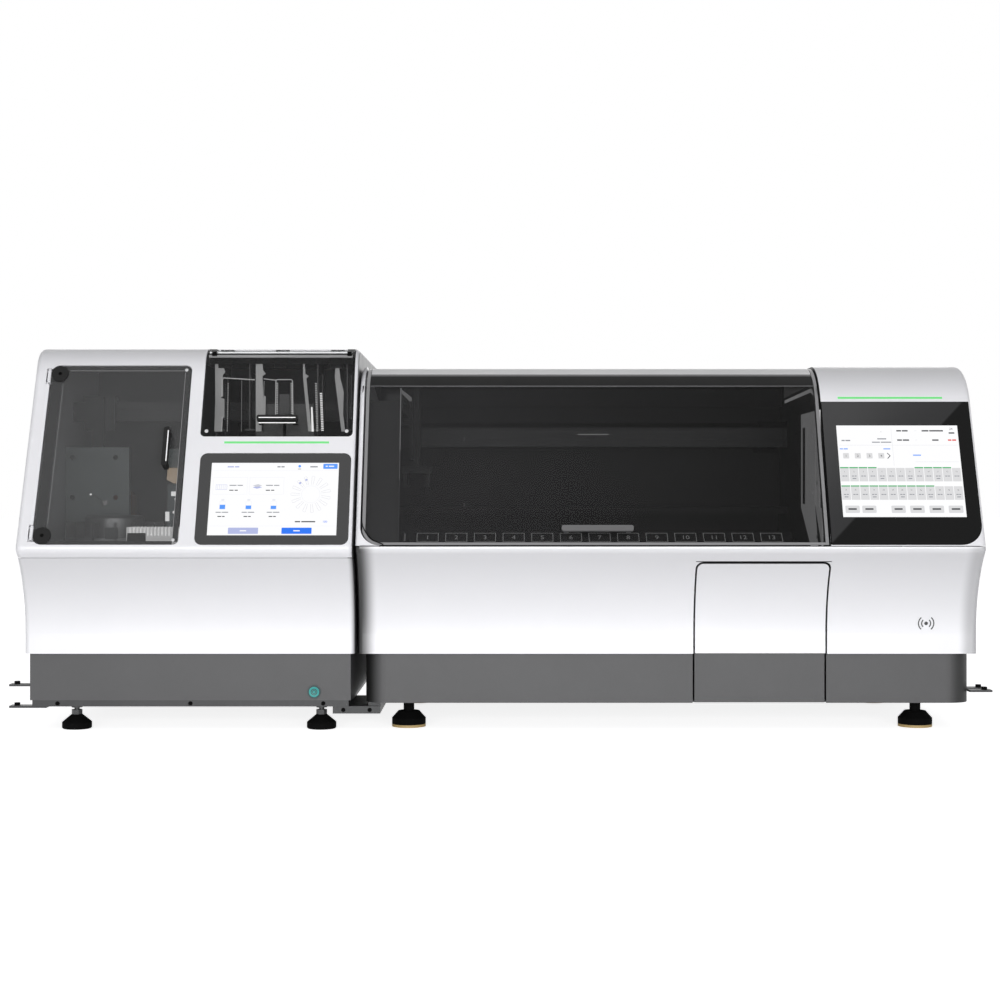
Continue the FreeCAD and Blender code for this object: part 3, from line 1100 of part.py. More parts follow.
# Staining chamber
liner_x0 = rim_x
liner_x1 = CONSOLE_X0
shelf_z1 = LEDGE_Z + SHELF_UP + SHELF_T
floor = block(liner_x0, liner_x1, LINER_FRONT, LINER_BACK, LINER_Z, LINER_Z + LINER_T)
liner_front = block(liner_x0, liner_x1, LINER_FRONT, LINER_FRONT + LINER_T, LINER_Z, LEDGE_Z)
liner_back = block(liner_x0, liner_x1, LINER_BACK - LINER_T, LINER_BACK, LINER_Z, STN_TOP - 60)
side_left = block(liner_x0, liner_x0 + LINER_T, LINER_FRONT, LINER_BACK, LINER_Z, shelf_z1)
side_right = block(liner_x1 - LINER_T, liner_x1, LINER_FRONT, LINER_BACK, LINER_Z, shelf_z1)
ledge = block(liner_x0, liner_x1, NOSE_R + 6, LINER_FRONT + LINER_T, LEDGE_Z, LEDGE_Z + 3)
back_shelf = block(liner_x0, liner_x1, X_RAIL_DEPTH - SHELF_AHEAD, LINER_BACK - LINER_T, LEDGE_Z + SHELF_UP,
                   shelf_z1)
liner = fuse([floor, liner_front, liner_back, side_left, side_right, ledge, back_shelf])
drain_bore = rod_z(9, STN_X0 + 60, LINER_BACK - 60, LINER_Z - 1, LINER_Z + LINER_T + 1)

station_x0 = STN_X0 + STATION_MIDDLE - STATION_PITCH * (STATIONS - 1) / 2
strip_x0 = STN_X0 + STATION_MIDDLE - STRIP_W / 2
strip_low = LEDGE_Z + 3
strip_high = strip_low + STRIP_RISE
strip_d1 = LINER_FRONT + LINER_T
strip_points = []
for d, z in ((STRIP_FRONT, strip_low), (STRIP_BACK, strip_high), (strip_d1 - STRIP_T, strip_high),
             (strip_d1 - STRIP_T, strip_low), (strip_d1, strip_low), (strip_d1, strip_high + STRIP_T),
             (STRIP_BACK, strip_high + STRIP_T), (STRIP_FRONT, strip_low + STRIP_T), (STRIP_FRONT, strip_low)):
    strip_points.append(vec(strip_x0, FRONT + d, z))
parts["station_number_strip"] = Part.Face(Part.makePolygon(strip_points)).extrude(vec(STRIP_W, 0, 0))


def tank(x, d):
    """Open reagent vessel with a rolled rim and a lifting lip at each end."""
    z0 = LINER_Z + LINER_T
    z1 = z0 + TANK_H
    half = TANK_W / 2
    body = plate(x - half, x + half, FRONT + d, FRONT + d + TANK_L, z0, z1, (4, 4, 4, 4))
    rim = plate(x - half - 2, x + half + 2, FRONT + d - 2, FRONT + d + TANK_L + 2, z1 - 4, z1, (5, 5, 5, 5))
    room = plate(x - half + TANK_T, x + half - TANK_T, FRONT + d + TANK_T, FRONT + d + TANK_L - TANK_T,
                 z0 + TANK_T, z1 + 1)
    return fuse([body, rim]).cut(room)


row_2 = TANK_ROW_1 + TANK_L + TANK_ROW_GAP
front_row = [tank(station_x0 + i * STATION_PITCH, TANK_ROW_1) for i in range(STATIONS)]
rear_row = [tank(station_x0 + i * STATION_PITCH, row_2) for i in range(STATIONS - 1)]
parts["reagent_vessels"] = group(front_row + rear_row)

plate_x = CONSOLE_X0 - LINER_T
plate_wall = block(plate_x, CONSOLE_X0, LINER_FRONT + 30, LINER_FRONT + 230, shelf_z1, GUIDE_PLATE_TOP)
slot_d = LINER_FRONT + 60
guide_slot = block(plate_x - 1, CONSOLE_X0 + 1, slot_d, slot_d + 12, PLATE_SLOT_LOW + 10,
                   PLATE_SLOT_LOW + PLATE_SLOT_L)
holes = [rod_x(4, plate_x - 1, CONSOLE_X0 + 1, slot_d + 40, z) for z in (450, 560)]
guide_plate = plate_wall.cut(group([guide_slot] + holes))
parts["chamber_liner"] = fuse([liner.cut(drain_bore), guide_plate])

# Gantry
rail_z1 = X_RAIL_Z + X_RAIL_H
x_rail = block(liner_x0, liner_x1, X_RAIL_DEPTH, X_RAIL_DEPTH + X_RAIL_T, X_RAIL_Z, rail_z1)
for z in (X_RAIL_Z + 8, rail_z1 - 16):
    x_rail = x_rail.cut(block(liner_x0 + 12, liner_x1 - 12, X_RAIL_DEPTH - 1, X_RAIL_DEPTH + 5, z, z + 8))
parts["guide_rails"] = group([cov_rail, x_rail])
belt = []
for d in (X_RAIL_DEPTH + BELT_INSET, X_RAIL_DEPTH + BELT_INSET + BELT_GAP):
    belt.append(block(liner_x0 + BELT_END_LEFT, liner_x1 - BELT_END_RIGHT, d, d + BELT_T, rail_z1 + BELT_UP,
                      rail_z1 + BELT_UP + BELT_W))
belt_ends = []
for x0, x1 in ((liner_x0, liner_x0 + BELT_END_LEFT), (liner_x1 - BELT_END_RIGHT, liner_x1)):
    belt_ends.append(block(x0, x1, X_RAIL_DEPTH + 1, X_RAIL_DEPTH + X_RAIL_T, rail_z1,
                           rail_z1 + BELT_END_H))
motor_x = liner_x1 - MOTOR_INSET
motor_d = X_RAIL_DEPTH + X_RAIL_T
motor = block(motor_x - MOTOR_W / 2, motor_x + MOTOR_W / 2, motor_d, motor_d + MOTOR_W, rail_z1 - MOTOR_H,
              rail_z1)
motor_boss = rod_z(MOTOR_BOSS_R, motor_x, motor_d + MOTOR_W / 2, rail_z1, rail_z1 + 3)
parts["x_belt_drive"] = group(belt + belt_ends + [fuse([motor, motor_boss])])

arm_x = STN_X0 + X_PARK
plate_d1 = X_RAIL_DEPTH - 0.5
x_plate = block(arm_x - X_CARRIAGE_W / 2, arm_x + X_CARRIAGE_W / 2, plate_d1 - 12, plate_d1,
                X_RAIL_Z - 6, Y_ARM_Z + Y_ARM_H)
clamp_finger = block(arm_x - 20, arm_x + 20, plate_d1, X_RAIL_DEPTH + BELT_INSET - FIT, rail_z1 + 0.5,
                     rail_z1 + BELT_UP + BELT_W + 1)
parts["x_carriage"] = fuse([x_plate, clamp_finger])
y_arm = block(arm_x - Y_ARM_W / 2, arm_x + Y_ARM_W / 2, Y_ARM_FRONT, plate_d1 - 12, Y_ARM_Z, Y_ARM_Z + Y_ARM_H)
for side in (-1, 1):
    x = arm_x + side * Y_ARM_W / 2
    y_arm = y_arm.cut(block(x - 4, x + 4, Y_ARM_FRONT + 10, plate_d1 - 30, Y_ARM_Z + 12, Y_ARM_Z + 22))
parts["y_arm"] = y_arm
arm_right = arm_x + Y_ARM_W / 2
y_d0 = Y_PARK - Y_CARRIAGE_L / 2
y_d1 = Y_PARK + Y_CARRIAGE_L / 2
y_low = Z_COLUMN_LOW + 15
saddle = block(arm_x - Y_ARM_W / 2, arm_right + 8, y_d0, y_d1, Y_ARM_Z - 16, Y_ARM_Z - 0.5)
cheek = block(arm_right + 0.5, arm_right + 8, y_d0, y_d1, y_low, Y_ARM_Z + Y_ARM_H)
parts["y_carriage"] = fuse([saddle, cheek])
col_x0 = arm_right + 8.5
z_column = block(col_x0, col_x0 + Z_COLUMN_W, Y_PARK - 15, Y_PARK + 15, Z_COLUMN_LOW,
                 Z_COLUMN_LOW + Z_COLUMN_L)
gear_cuts = []
for i in range(18):
    z = Z_COLUMN_LOW + 12 + i * 8
    gear_cuts.append(block(col_x0 + Z_COLUMN_W - 3, col_x0 + Z_COLUMN_W + 1, Y_PARK - 5, Y_PARK + 5, z, z + 4))
head_x = col_x0 + Z_COLUMN_W / 2
gripper_head = block(head_x - 32, head_x + 32, Y_PARK - 22, Y_PARK + 22, Z_COLUMN_LOW - 14, Z_COLUMN_LOW)
parts["z_column"] = fuse([z_column.cut(group(gear_cuts)), gripper_head])
for name, side in (("gripper_jaw_left", -1), ("gripper_jaw_right", 1)):
    x = head_x + side * 24
    finger = block(x - 4, x + 4, Y_PARK - 18, Y_PARK + 18, Z_COLUMN_LOW - 42, Z_COLUMN_LOW - 14.3)
    toe = block(min(x, x - side * 9), max(x, x - side * 9), Y_PARK - 18, Y_PARK + 18, Z_COLUMN_LOW - 42,
                Z_COLUMN_LOW - 38)
    parts[name] = fuse([finger, toe])

# Between and behind the machines
dock_x0 = COV_X1 - DOCK_OVERLAP_LEFT
dock_x1 = STN_X0 + DOCK_OVERLAP_RIGHT
dock = block(dock_x0, dock_x1, DOCK_FRONT, DOCK_FRONT + DOCK_DEPTH, DOCK_Z, COV_PAN_BOTTOM)
dock_step = block(STN_X0 + STN_SKIRT_INSET_LEFT + 6, dock_x1, DOCK_FRONT + 10, DOCK_FRONT + DOCK_DEPTH,
                  COV_PAN_BOTTOM, STN_SKIRT_BOTTOM)
foot_space = rod_z(COV_PAD_R, COV_X1 - COV_FOOT_RIGHT_INSET, COV_FOOT_DEPTH, 0, FAR)
dock = fuse([dock, dock_step]).cut(foot_space)
dock_screws = []
for x in (dock_x0 + 20, dock_x1 - 20):
    dock_screws.append(rod_y(SCREW_R, x, DOCK_FRONT - SCREW_HEAD_H, DOCK_FRONT, (DOCK_Z + COV_PAN_BOTTOM) / 2))

tabs = []
knobs = []
tab_left = COV_X0 - TAB_REACH
tab_right = STN_X1 + TAB_REACH
for z1, reach in ((COV_PAN_BOTTOM, pan_x0 + TAB_W), (COV_TAB_Z + TAB_T, cov_skirt_x0)):
    tabs.append(block(tab_left, reach, TAB_FRONT, TAB_FRONT + TAB_W, z1 - TAB_T, z1))
    knobs.append(rod_z(KNOB_R, tab_left + KNOB_INSET, TAB_FRONT + TAB_W / 2, z1, z1 + KNOB_H))
for d in (TAB_FRONT, TAB_FRONT + TAB_PITCH):
    z1 = STN_TAB_Z + TAB_T
    tabs.append(block(stn_skirt_x1, tab_right, d, d + TAB_W, STN_TAB_Z, z1))
    knobs.append(rod_z(KNOB_R, tab_right - KNOB_INSET, d + TAB_W / 2, z1, z1 + KNOB_H))
parts["docking_brackets"] = group([dock] + tabs)
parts["base_screws"] = group(pan_screws + dock_screws + knobs)

collars = []
for x in (cov_exhaust_x, stn_exhaust_x):
    tube = rod_y(EXHAUST_R, x, CASE_DEPTH - EXHAUST_SEAT, DEPTH, EXHAUST_Z)
    collars.append(tube.cut(rod_y(EXHAUST_R - EXHAUST_T, x, CASE_DEPTH - 3, DEPTH + 1, EXHAUST_Z)))
parts["exhaust_collars"] = group(collars)
inlets = []
inlet_d = CASE_DEPTH - EXHAUST_SEAT
for x in (COV_X0 + COV_INLET_X, CONSOLE_X0 + CONSOLE_INLET_X):
    body = block(x, x + INLET_W, inlet_d, inlet_d + INLET_T, INLET_Z, INLET_Z + INLET_H)
    socket = block(x + INLET_RIM, x + INLET_W - INLET_RIM, inlet_d + 1, inlet_d + INLET_T + 1,
                   INLET_Z + INLET_RIM_Z, INLET_Z + INLET_H - INLET_RIM_Z)
    blades = []
    for step in (-1, 0, 1):
        blade_x = x + (INLET_W - BLADE_T) / 2 + step * BLADE_PITCH
        blade_z = INLET_Z + (INLET_H - BLADE_H) / 2
        blades.append(block(blade_x, blade_x + BLADE_T, inlet_d + 1, inlet_d + INLET_T - 1, blade_z,
                            blade_z + BLADE_H))
    inlets.append(fuse([body.cut(socket)] + blades))
fittings = []
for x in (STN_X0 + FITTING_X, STN_X0 + FITTING_X + FITTING_PITCH):
    boss = rod_y(FITTING_BOSS_R, x, inlet_d, inlet_d + FITTING_BOSS_T, INLET_Z)
    spigot = rod_y(FITTING_R, x, inlet_d + FITTING_BOSS_T, DEPTH - 2, INLET_Z)
    fittings.append(fuse([boss, spigot]).cut(rod_y(FITTING_BORE_R, x, inlet_d - 1, DEPTH, INLET_Z)))
parts["mains_and_water_inlets"] = group(inlets + fittings)

os.makedirs("parts", exist_ok=True)
for name, shape in parts.items():
    shape.exportStep("parts/" + name + ".step")
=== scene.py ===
import math
import bpy
import bmesh
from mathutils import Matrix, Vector


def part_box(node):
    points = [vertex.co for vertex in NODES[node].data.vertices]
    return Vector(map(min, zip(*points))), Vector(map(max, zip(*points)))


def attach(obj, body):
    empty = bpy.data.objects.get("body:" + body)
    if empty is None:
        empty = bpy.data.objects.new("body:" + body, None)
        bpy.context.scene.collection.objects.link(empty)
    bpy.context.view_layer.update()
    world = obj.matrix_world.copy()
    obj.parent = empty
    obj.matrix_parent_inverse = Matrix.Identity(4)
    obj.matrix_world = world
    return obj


# Slide stainer with a glass coverslipper beside it: finishes, screens, lettering and small details.
# Metres. X runs to the right, Y to the back, Z up, with the origin on the bench under the centre.

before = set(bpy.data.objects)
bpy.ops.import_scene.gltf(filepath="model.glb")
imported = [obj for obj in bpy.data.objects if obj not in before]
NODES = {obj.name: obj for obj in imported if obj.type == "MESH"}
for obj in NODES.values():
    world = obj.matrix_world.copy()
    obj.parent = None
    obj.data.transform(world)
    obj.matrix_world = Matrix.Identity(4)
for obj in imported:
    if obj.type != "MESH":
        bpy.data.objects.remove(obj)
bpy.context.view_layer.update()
scene = bpy.context.scene

# Camera at the photograph's place
CAMERA_X = -0.0015
CAMERA_Y = -3.5875
CAMERA_Z = 0.443
CAMERA_LENS = 63.0
CAMERA_SHIFT_UP = -0.004

# Scale of the photograph at the front lip, and how far its camera stood from that lip
PHOTO_SCALE = 0.00185
PHOTO_RANGE = 3.2375
PHOTO_MIDDLE = (500, 496)
LIP_Y = -0.35
EYE = Vector((0, LIP_Y - PHOTO_RANGE, CAMERA_Z))

# Light levels
WORLD_LEVEL = 0.27
KEY_WATTS = 176.0
TOP_WATTS = 4.0
REAR_WATTS = 22.0
FLOOR_SIZE = 60.0
FLOOR_GLOW = 0.82

# Directions
UP = (0, 0, 1)
RIGHT = (1, 0, 0)
LEFT = (-1, 0, 0)
BACK = (0, 1, 0)
FRONT = (0, -1, 0)
DOWN_RIGHT = (1, 0, -1.01)


def grey(level, blue=0.0):
    """Linear grey of one level, with a little more blue where the paint is cool."""
    return level, level, level + blue


# Colours as the linear values that the shaders take
WHITE = grey(0.8, 0.025)
APRON_WHITE = grey(0.9, 0.025)
# Tones of painted shade: the tops of the aprons under the lip, the right end of the apron and the crowns, and
# a near black for the deepest painted shade and for glass beyond a painted reflection
APRON_TOP_SHADE = grey(0.7, 0.02)
RIGHT_EDGE_SHADE = grey(0.5, 0.015)
CROWN_SHADE = grey(0.6, 0.02)
SHADE = grey(0.005)
GREY_BASE = grey(0.06, 0.002)
TAN = (0.46, 0.33, 0.14)
TEAL = (0.045, 0.36, 0.34)
STEEL = (0.52, 0.53, 0.54)
LIT_GREEN = (0.19, 0.76, 0.25)
LIT_WHITE = (0.96, 0.96, 0.97)
FLOOR_WHITE = grey(0.82, 0.01)
SKY_WHITE = grey(1.0, 0.02)
SCREEN_LEVEL = 0.98
LIT_BASE_SHARE = 0.05
INK = {
    "white": LIT_WHITE,
    "pale": (0.8, 0.81, 0.86),
    "line": (0.62, 0.63, 0.68),
    "cell": grey(0.7, 0.01),
    "grey": (0.3, 0.31, 0.34),
    "text": (0.055, 0.058, 0.065),
    "blue": (0.035, 0.19, 0.9),
    "sky": (0.11, 0.33, 0.95),
    "lavender": (0.45, 0.49, 0.76),
    "green": (0.03, 0.42, 0.12),
    "red": (0.75, 0.06, 0.05),
}


# Camera
camera_data = bpy.data.cameras.new("photo_camera")
camera_data.lens = CAMERA_LENS
camera_data.shift_y = CAMERA_SHIFT_UP
camera = bpy.data.objects.new("photo_camera", camera_data)
camera.location = (CAMERA_X, CAMERA_Y, CAMERA_Z)
camera.rotation_euler = (math.pi / 2, 0, 0)
scene.collection.objects.link(camera)
scene.camera = camera


# Materials
def shader_of(name):
    material = bpy.data.materials.new(name)
    material.use_nodes = True
    tree = material.node_tree
    return material, tree, tree.nodes["Principled BSDF"]


def noise(tree, scale, detail, stretch=(1, 1, 1)):
    """Noise laid through the object in its own coordinates, stretched for a grain."""
    place = tree.nodes.new("ShaderNodeTexCoord")
    mapping = tree.nodes.new("ShaderNodeMapping")
    mapping.inputs["Scale"].default_value = stretch
    texture = tree.nodes.new("ShaderNodeTexNoise")
    texture.inputs["Scale"].default_value = scale
    texture.inputs["Detail"].default_value = detail
    tree.links.new(place.outputs["Object"], mapping.inputs["Vector"])
    tree.links.new(mapping.outputs["Vector"], texture.inputs["Vector"])
    return texture.outputs["Fac"]


def spread(tree, value, low, high):
    """Carry a 0 to 1 value over to another range."""
    node = tree.nodes.new("ShaderNodeMapRange")
    node.inputs["To Min"].default_value = low
    node.inputs["To Max"].default_value = high
    tree.links.new(value, node.inputs["Value"])
    return node.outputs["Result"]


def faded(tree, shown, colour, direction, start, stop):
    """Let a colour pass into another one along a direction, between two distances from the origin."""
    place = tree.nodes.new("ShaderNodeTexCoord")
    along = tree.nodes.new("ShaderNodeVectorMath")
    along.operation = "DOT_PRODUCT"
    along.inputs[1].default_value = direction
    share = tree.nodes.new("ShaderNodeMapRange")
    share.inputs["From Min"].default_value = start
    share.inputs["From Max"].default_value = stop
    share.interpolation_type = "SMOOTHSTEP"
    blend = tree.nodes.new("ShaderNodeMix")
    blend.data_type = "RGBA"
    blend.inputs["B"].default_value = (*colour, 1)
    tree.links.new(place.outputs["Object"], along.inputs[0])
    tree.links.new(along.outputs["Value"], share.inputs["Value"])
    tree.links.new(share.outputs["Result"], blend.inputs["Factor"])
    tree.links.new(shown, blend.inputs["A"])
    return blend.outputs["Result"]


# Size of the slow change of shade, where its ramp runs, and how much coarser the gloss is than the grain
SHADE_SCALE = 9.0
SHADE_RAMP = (0.3, 0.7)
GLOSS_COARSER = 12


def surface(name, colour, roughness, metallic=0.0, coat=0.0, coat_roughness=0.1, shade=0.05, grain=900.0,
            depth=0.00002, stretch=(1, 1, 1), gloss_change=0.06, alpha=1.0, specular=0.5, glow=0.0, fade=()):
    """Finish with a fine relief, a slow change of shade and an uneven gloss; fades paint shade and
    reflections, glow paints light.
    """
    material, tree, shader = shader_of(name)
    shader.inputs["Metallic"].default_value = metallic
    shader.inputs["Coat Weight"].default_value = coat
    shader.inputs["Coat Roughness"].default_value = coat_roughness
    shader.inputs["Alpha"].default_value = alpha
    shader.inputs["Specular IOR Level"].default_value = specular
    ramp = tree.nodes.new("ShaderNodeValToRGB")
    for stop, change, place in zip(ramp.color_ramp.elements, (1 - shade, 1 + shade), SHADE_RAMP):
        stop.color = (*[min(1, c * change) for c in colour], 1)
        stop.position = place
    tree.links.new(noise(tree, SHADE_SCALE, 3, stretch), ramp.inputs["Fac"])
    shown = ramp.outputs["Color"]
    for change in fade:
        shown = faded(tree, shown, *change)
    tree.links.new(shown, shader.inputs["Base Color"])
    if glow > 0:
        tree.links.new(shown, shader.inputs["Emission Color"])
        shader.inputs["Emission Strength"].default_value = glow
    gloss = noise(tree, grain / GLOSS_COARSER, 2, stretch)
    uneven = spread(tree, gloss, roughness - gloss_change, roughness + gloss_change)
    tree.links.new(uneven, shader.inputs["Roughness"])
    bump = tree.nodes.new("ShaderNodeBump")
    bump.inputs["Distance"].default_value = depth
    tree.links.new(noise(tree, grain, 3, stretch), bump.inputs["Height"])
    tree.links.new(bump.outputs["Normal"], shader.inputs["Normal"])
    return material


def lit(name, colour, level=1.0):
    """Surface that shines by itself: a display or a light strip."""
    material, _, shader = shader_of(name)
    shader.inputs["Base Color"].default_value = (*[c * LIT_BASE_SHARE for c in colour], 1)
    shader.inputs["Roughness"].default_value = 0.35
    shader.inputs["Specular IOR Level"].default_value = 0.1
    shader.inputs["Emission Color"].default_value = (*colour, 1)
    shader.inputs["Emission Strength"].default_value = level
    return material


# Painted covers. The fades are painted shade: at the crowns, at the tops of the aprons under the lip, beside
# the gap between the machines and at the right end of the stainer's apron and base.
PAINT = {"roughness": 0.34, "coat": 0.25, "shade": 0.012, "grain": 420, "depth": 0.00001}
POWDER_COAT = {"roughness": 0.52, "grain": 1500, "depth": 0.00007}
apron_top_shade = (APRON_TOP_SHADE, UP, 0.12, 0.33)
white = surface("white_gloss_paint", WHITE, **PAINT, fade=[(CROWN_SHADE, UP, 0.66, 0.735)])
console_white = surface("white_console_paint", WHITE, **PAINT, fade=[(CROWN_SHADE, UP, 0.61, 0.7)])
left_apron = surface("white_left_apron", APRON_WHITE, **PAINT,
                     fade=[apron_top_shade, (SHADE, RIGHT, -0.286, -0.269)])
right_apron = surface("white_right_apron", APRON_WHITE, **PAINT,
                      fade=[apron_top_shade, (SHADE, LEFT, 0.231, 0.2645), (RIGHT_EDGE_SHADE, RIGHT, 0.862, 0.886)])
base_paint = surface("grey_powder_coat", GREY_BASE, **POWDER_COAT)
right_base_paint = surface("grey_powder_coat_shaded", GREY_BASE, **POWDER_COAT,
                           fade=[(SHADE, LEFT, 0.222, 0.246), (SHADE, RIGHT, 0.838, 0.876)])
side_shade = surface("shaded_side_wall", grey(0.085, 0.003), 0.4, grain=420)

# Smoked and black glass
SHEET = {"grain": 50, "depth": 0.000001, "gloss_change": 0.015}
BACKED = {"grain": 60, "depth": 0.000001, "gloss_change": 0.02}
door_smoked = surface("smoked_door", (0.075, 0.076, 0.077), 0.06, alpha=0.4, **SHEET)
lid_smoked = surface("smoked_lid", grey(0.012, 0.0005), 0.06, alpha=0.3, specular=0.3, **SHEET)
# Painted reflection on the hood glass: lighter at the left, darker towards the right.
hood_smoked = surface("smoked_hood", grey(0.027, 0.001), 0.07, alpha=0.42, specular=0.2, **SHEET,
                      fade=[(grey(0.004), RIGHT, -0.3, 0.5)])
panel_glass = surface("black_panel_glass", grey(0.012, 0.001), 0.07, coat=0.6, coat_roughness=0.03, **BACKED)
# Painted reflection on the console glass: lighter at the upper left, fading darker down to the right as far
# as a sharp diagonal edge, beyond which the glass is near black.
console_black = surface("console_black_glass", grey(0.058, 0.001), 0.07, specular=0.12, **BACKED,
                        fade=[(grey(0.032, 0.001), DOWN_RIGHT, 0.0, 0.25), (SHADE, DOWN_RIGHT, 0.25, 0.257)])
amber = surface("amber_glass", (0.26, 0.1, 0.02), 0.12, coat=0.6, shade=0.1, grain=200, depth=0.00001)

# Metals
trim = surface("grey_trim", grey(0.23, 0.005), 0.34, metallic=0.55, shade=0.06, grain=700,
               stretch=(0.05, 1, 1))
dark_metal = surface("dark_sheet_metal", (0.03, 0.031, 0.032), 0.42, metallic=0.4, shade=0.1, grain=1400,
                     depth=0.00006)
inner = surface("inner_grey_plate", (0.052, 0.058, 0.06), 0.5, metallic=0.2, shade=0.04, grain=300,
                depth=0.000004)
steel = surface("brushed_steel", STEEL, 0.3, metallic=1.0, shade=0.08, grain=1500, depth=0.00003,
                stretch=(0.04, 1, 1))
dull_steel = surface("stamped_steel", (0.33, 0.335, 0.34), 0.42, metallic=0.6, shade=0.1, grain=1300,
                     depth=0.00004, stretch=(1, 1, 0.08))
plate_grey = surface("guide_plate_grey", grey(0.17, 0.002), 0.45, metallic=0.3, shade=0.08, grain=1300)
handle_grey = surface("handle_dark_grey", grey(0.12, 0.002), 0.34, metallic=0.3, shade=0.06)
hub_metal = surface("hub_metal", (0.26, 0.265, 0.27), 0.38, metallic=0.6, shade=0.06, grain=1200)

# Plastics, rubber and coatings. Their glow is painted light, which keeps the parts behind the smoked glass
# bright.
black_plastic = surface("black_plastic", grey(0.012, 0.001), 0.46, shade=0.2, grain=1600, depth=0.00008)
rubber = surface("black_rubber", grey(0.004), 0.75, shade=0.25, grain=1900, depth=0.0001, specular=0.03)
pad_rubber = surface("tan_pad", TAN, 0.55, shade=0.15, grain=1300, depth=0.0001)
chamber = surface("chamber_coating", grey(0.016, 0.001), 0.5, shade=0.1, grain=260, depth=0.000002,
                  specular=0.22)
vessel = surface("vessel_plastic", (0.09, 0.095, 0.1), 0.35, shade=0.08, grain=700, depth=0.00003)
teal = surface("teal_button", TEAL, 0.34, specular=0.2, shade=0.08, grain=800)
button_ring = surface("button_ring", (0.045, 0.075, 0.078), 0.4, specular=0.2)
tan_block = surface("tan_block", (0.5, 0.39, 0.28), 0.5, shade=0.06, depth=0.00005, glow=0.8)
board = surface("board_blue", (0.075, 0.1, 0.105), 0.4, shade=0.12, grain=1000, depth=0.00005)
plate_blue = surface("blue_grey_plate", (0.3, 0.34, 0.34), 0.5, shade=0.08, grain=1200, depth=0.00004)
board_grey = surface("side_board_grey", grey(0.085, 0.001), 0.5, shade=0.06, grain=1200, depth=0.00004)
band_dark = surface("crown_band", grey(0.018), 0.6, shade=0.1, grain=600, depth=0.00001, specular=0.1)
guide_grey = surface("guide_plate_light", grey(0.34, 0.005), 0.5, grain=700, depth=0.00001, glow=0.62)
crown_grey = surface("crown_strip_grey", grey(0.68, 0.005), 0.42, shade=0.04, grain=700)
hook_grey = surface("hook_plate_grey", grey(0.5), 0.42, shade=0.1, grain=700, depth=0.00001, glow=0.36)
inner_white = surface("inner_white_plastic", grey(0.85), 0.45, shade=0.03, glow=1.5)
tray_white = surface("tray_white_plastic", grey(0.8), 0.45, shade=0.03, glow=0.7)
clamp_black = surface("clamp_black", grey(0.007), 0.5, shade=0.1, grain=1600, specular=0.22)
inner_grey = surface("inner_light_grey", grey(0.42, 0.005), 0.45, shade=0.08, glow=0.15)
rack_dark = surface("rack_dark_plastic", grey(0.1, 0.002), 0.45, shade=0.08)
# Painted highlights: the bright lines on the handles and along the rail; the same glowing white also
# brightens the bail wires and most comb teeth.
painted_highlight = surface("highlight_line", grey(0.8), 0.4, shade=0.03, glow=0.35)

# Lights, screen inks and prints
green_light = lit("green_light", LIT_GREEN)
screen_glow = lit("screen_white", LIT_WHITE, SCREEN_LEVEL)
INKS = {name: lit("ink_" + name, colour, SCREEN_LEVEL) for name, colour in INK.items()}
PRINT = {
    "mark": surface("grey_print", grey(0.02, 0.002), 0.5, grain=1500),
    "dim": surface("dim_print", grey(0.16, 0.005), 0.5, grain=1500),
    # The station numbers glow as painted light.
    "station": surface("station_print", grey(0.62), 0.5, shade=0.02, glow=0.25),
    "light": surface("light_print", grey(0.62, 0.01), 0.4, grain=1500),
    "border": surface("black_print", grey(0.016, 0.001), 0.35, grain=1500),
    "edge": surface("edge_line", grey(0.3, 0.005), 0.3, grain=1500),
}

FINISHES = (
    (left_apron, "coverslipper_lower_cover"),
    (white, "coverslipper_upper_cover"),
    (right_apron, "stainer_front_apron drawer_front"),
    (console_white, "stainer_rim_cover console_housing"),
    (base_paint, "coverslipper_base_skirt drawer_kick_panel"),
    (right_base_paint, "stainer_base_skirt"),
    (dark_metal, "chassis_plates docking_brackets rear_panels foot_studs coverslip_magazine guide_rails "
                 "pick_head_carriage pick_head x_carriage y_arm y_carriage z_column gripper_jaw_left "
                 "gripper_jaw_right"),
    (door_smoked, "door_glass"),
    (lid_smoked, "lid_glass"),
    (hood_smoked, "hood_glass"),
    (panel_glass, "coverslipper_screen_bezel"),
    (console_black, "console_glass"),
    (screen_glow, "display_screens"),
    (green_light, "light_strips"),
    (trim, "hood_frame"),
    (handle_grey, "hood_handle"),
    (clamp_black, "door_handle lid_handle door_hinge_clamps"),
    (band_dark, "lid_hinge_knuckles"),
    (black_plastic, "hinge_blocks exhaust_collars mains_and_water_inlets"),
    (steel, "hinge_pins carousel_post drawer_runners"),
    (rubber, "levelling_feet base_screws x_belt_drive"),
    (pad_rubber, "stainer_foot_pads"),
    (teal, "power_button"),
    (button_ring, "power_button_ring"),
    (inner, "coverslipper_deck"),
    (hub_metal, "carousel_wheel"),
    (rack_dark, "carousel_racks slide_racks rack_hooks"),
    (tray_white, "slide_comb_tray"),
    (amber, "mountant_bottle"),
    (chamber, "chamber_liner station_number_strip"),
    (vessel, "reagent_vessels"),
    (dull_steel, "drawer_tray"),
)
for finish, node_names in FINISHES:
    for node_name in node_names.split():
        NODES[node_name].data.materials.clear()
        NODES[node_name].data.materials.append(finish)


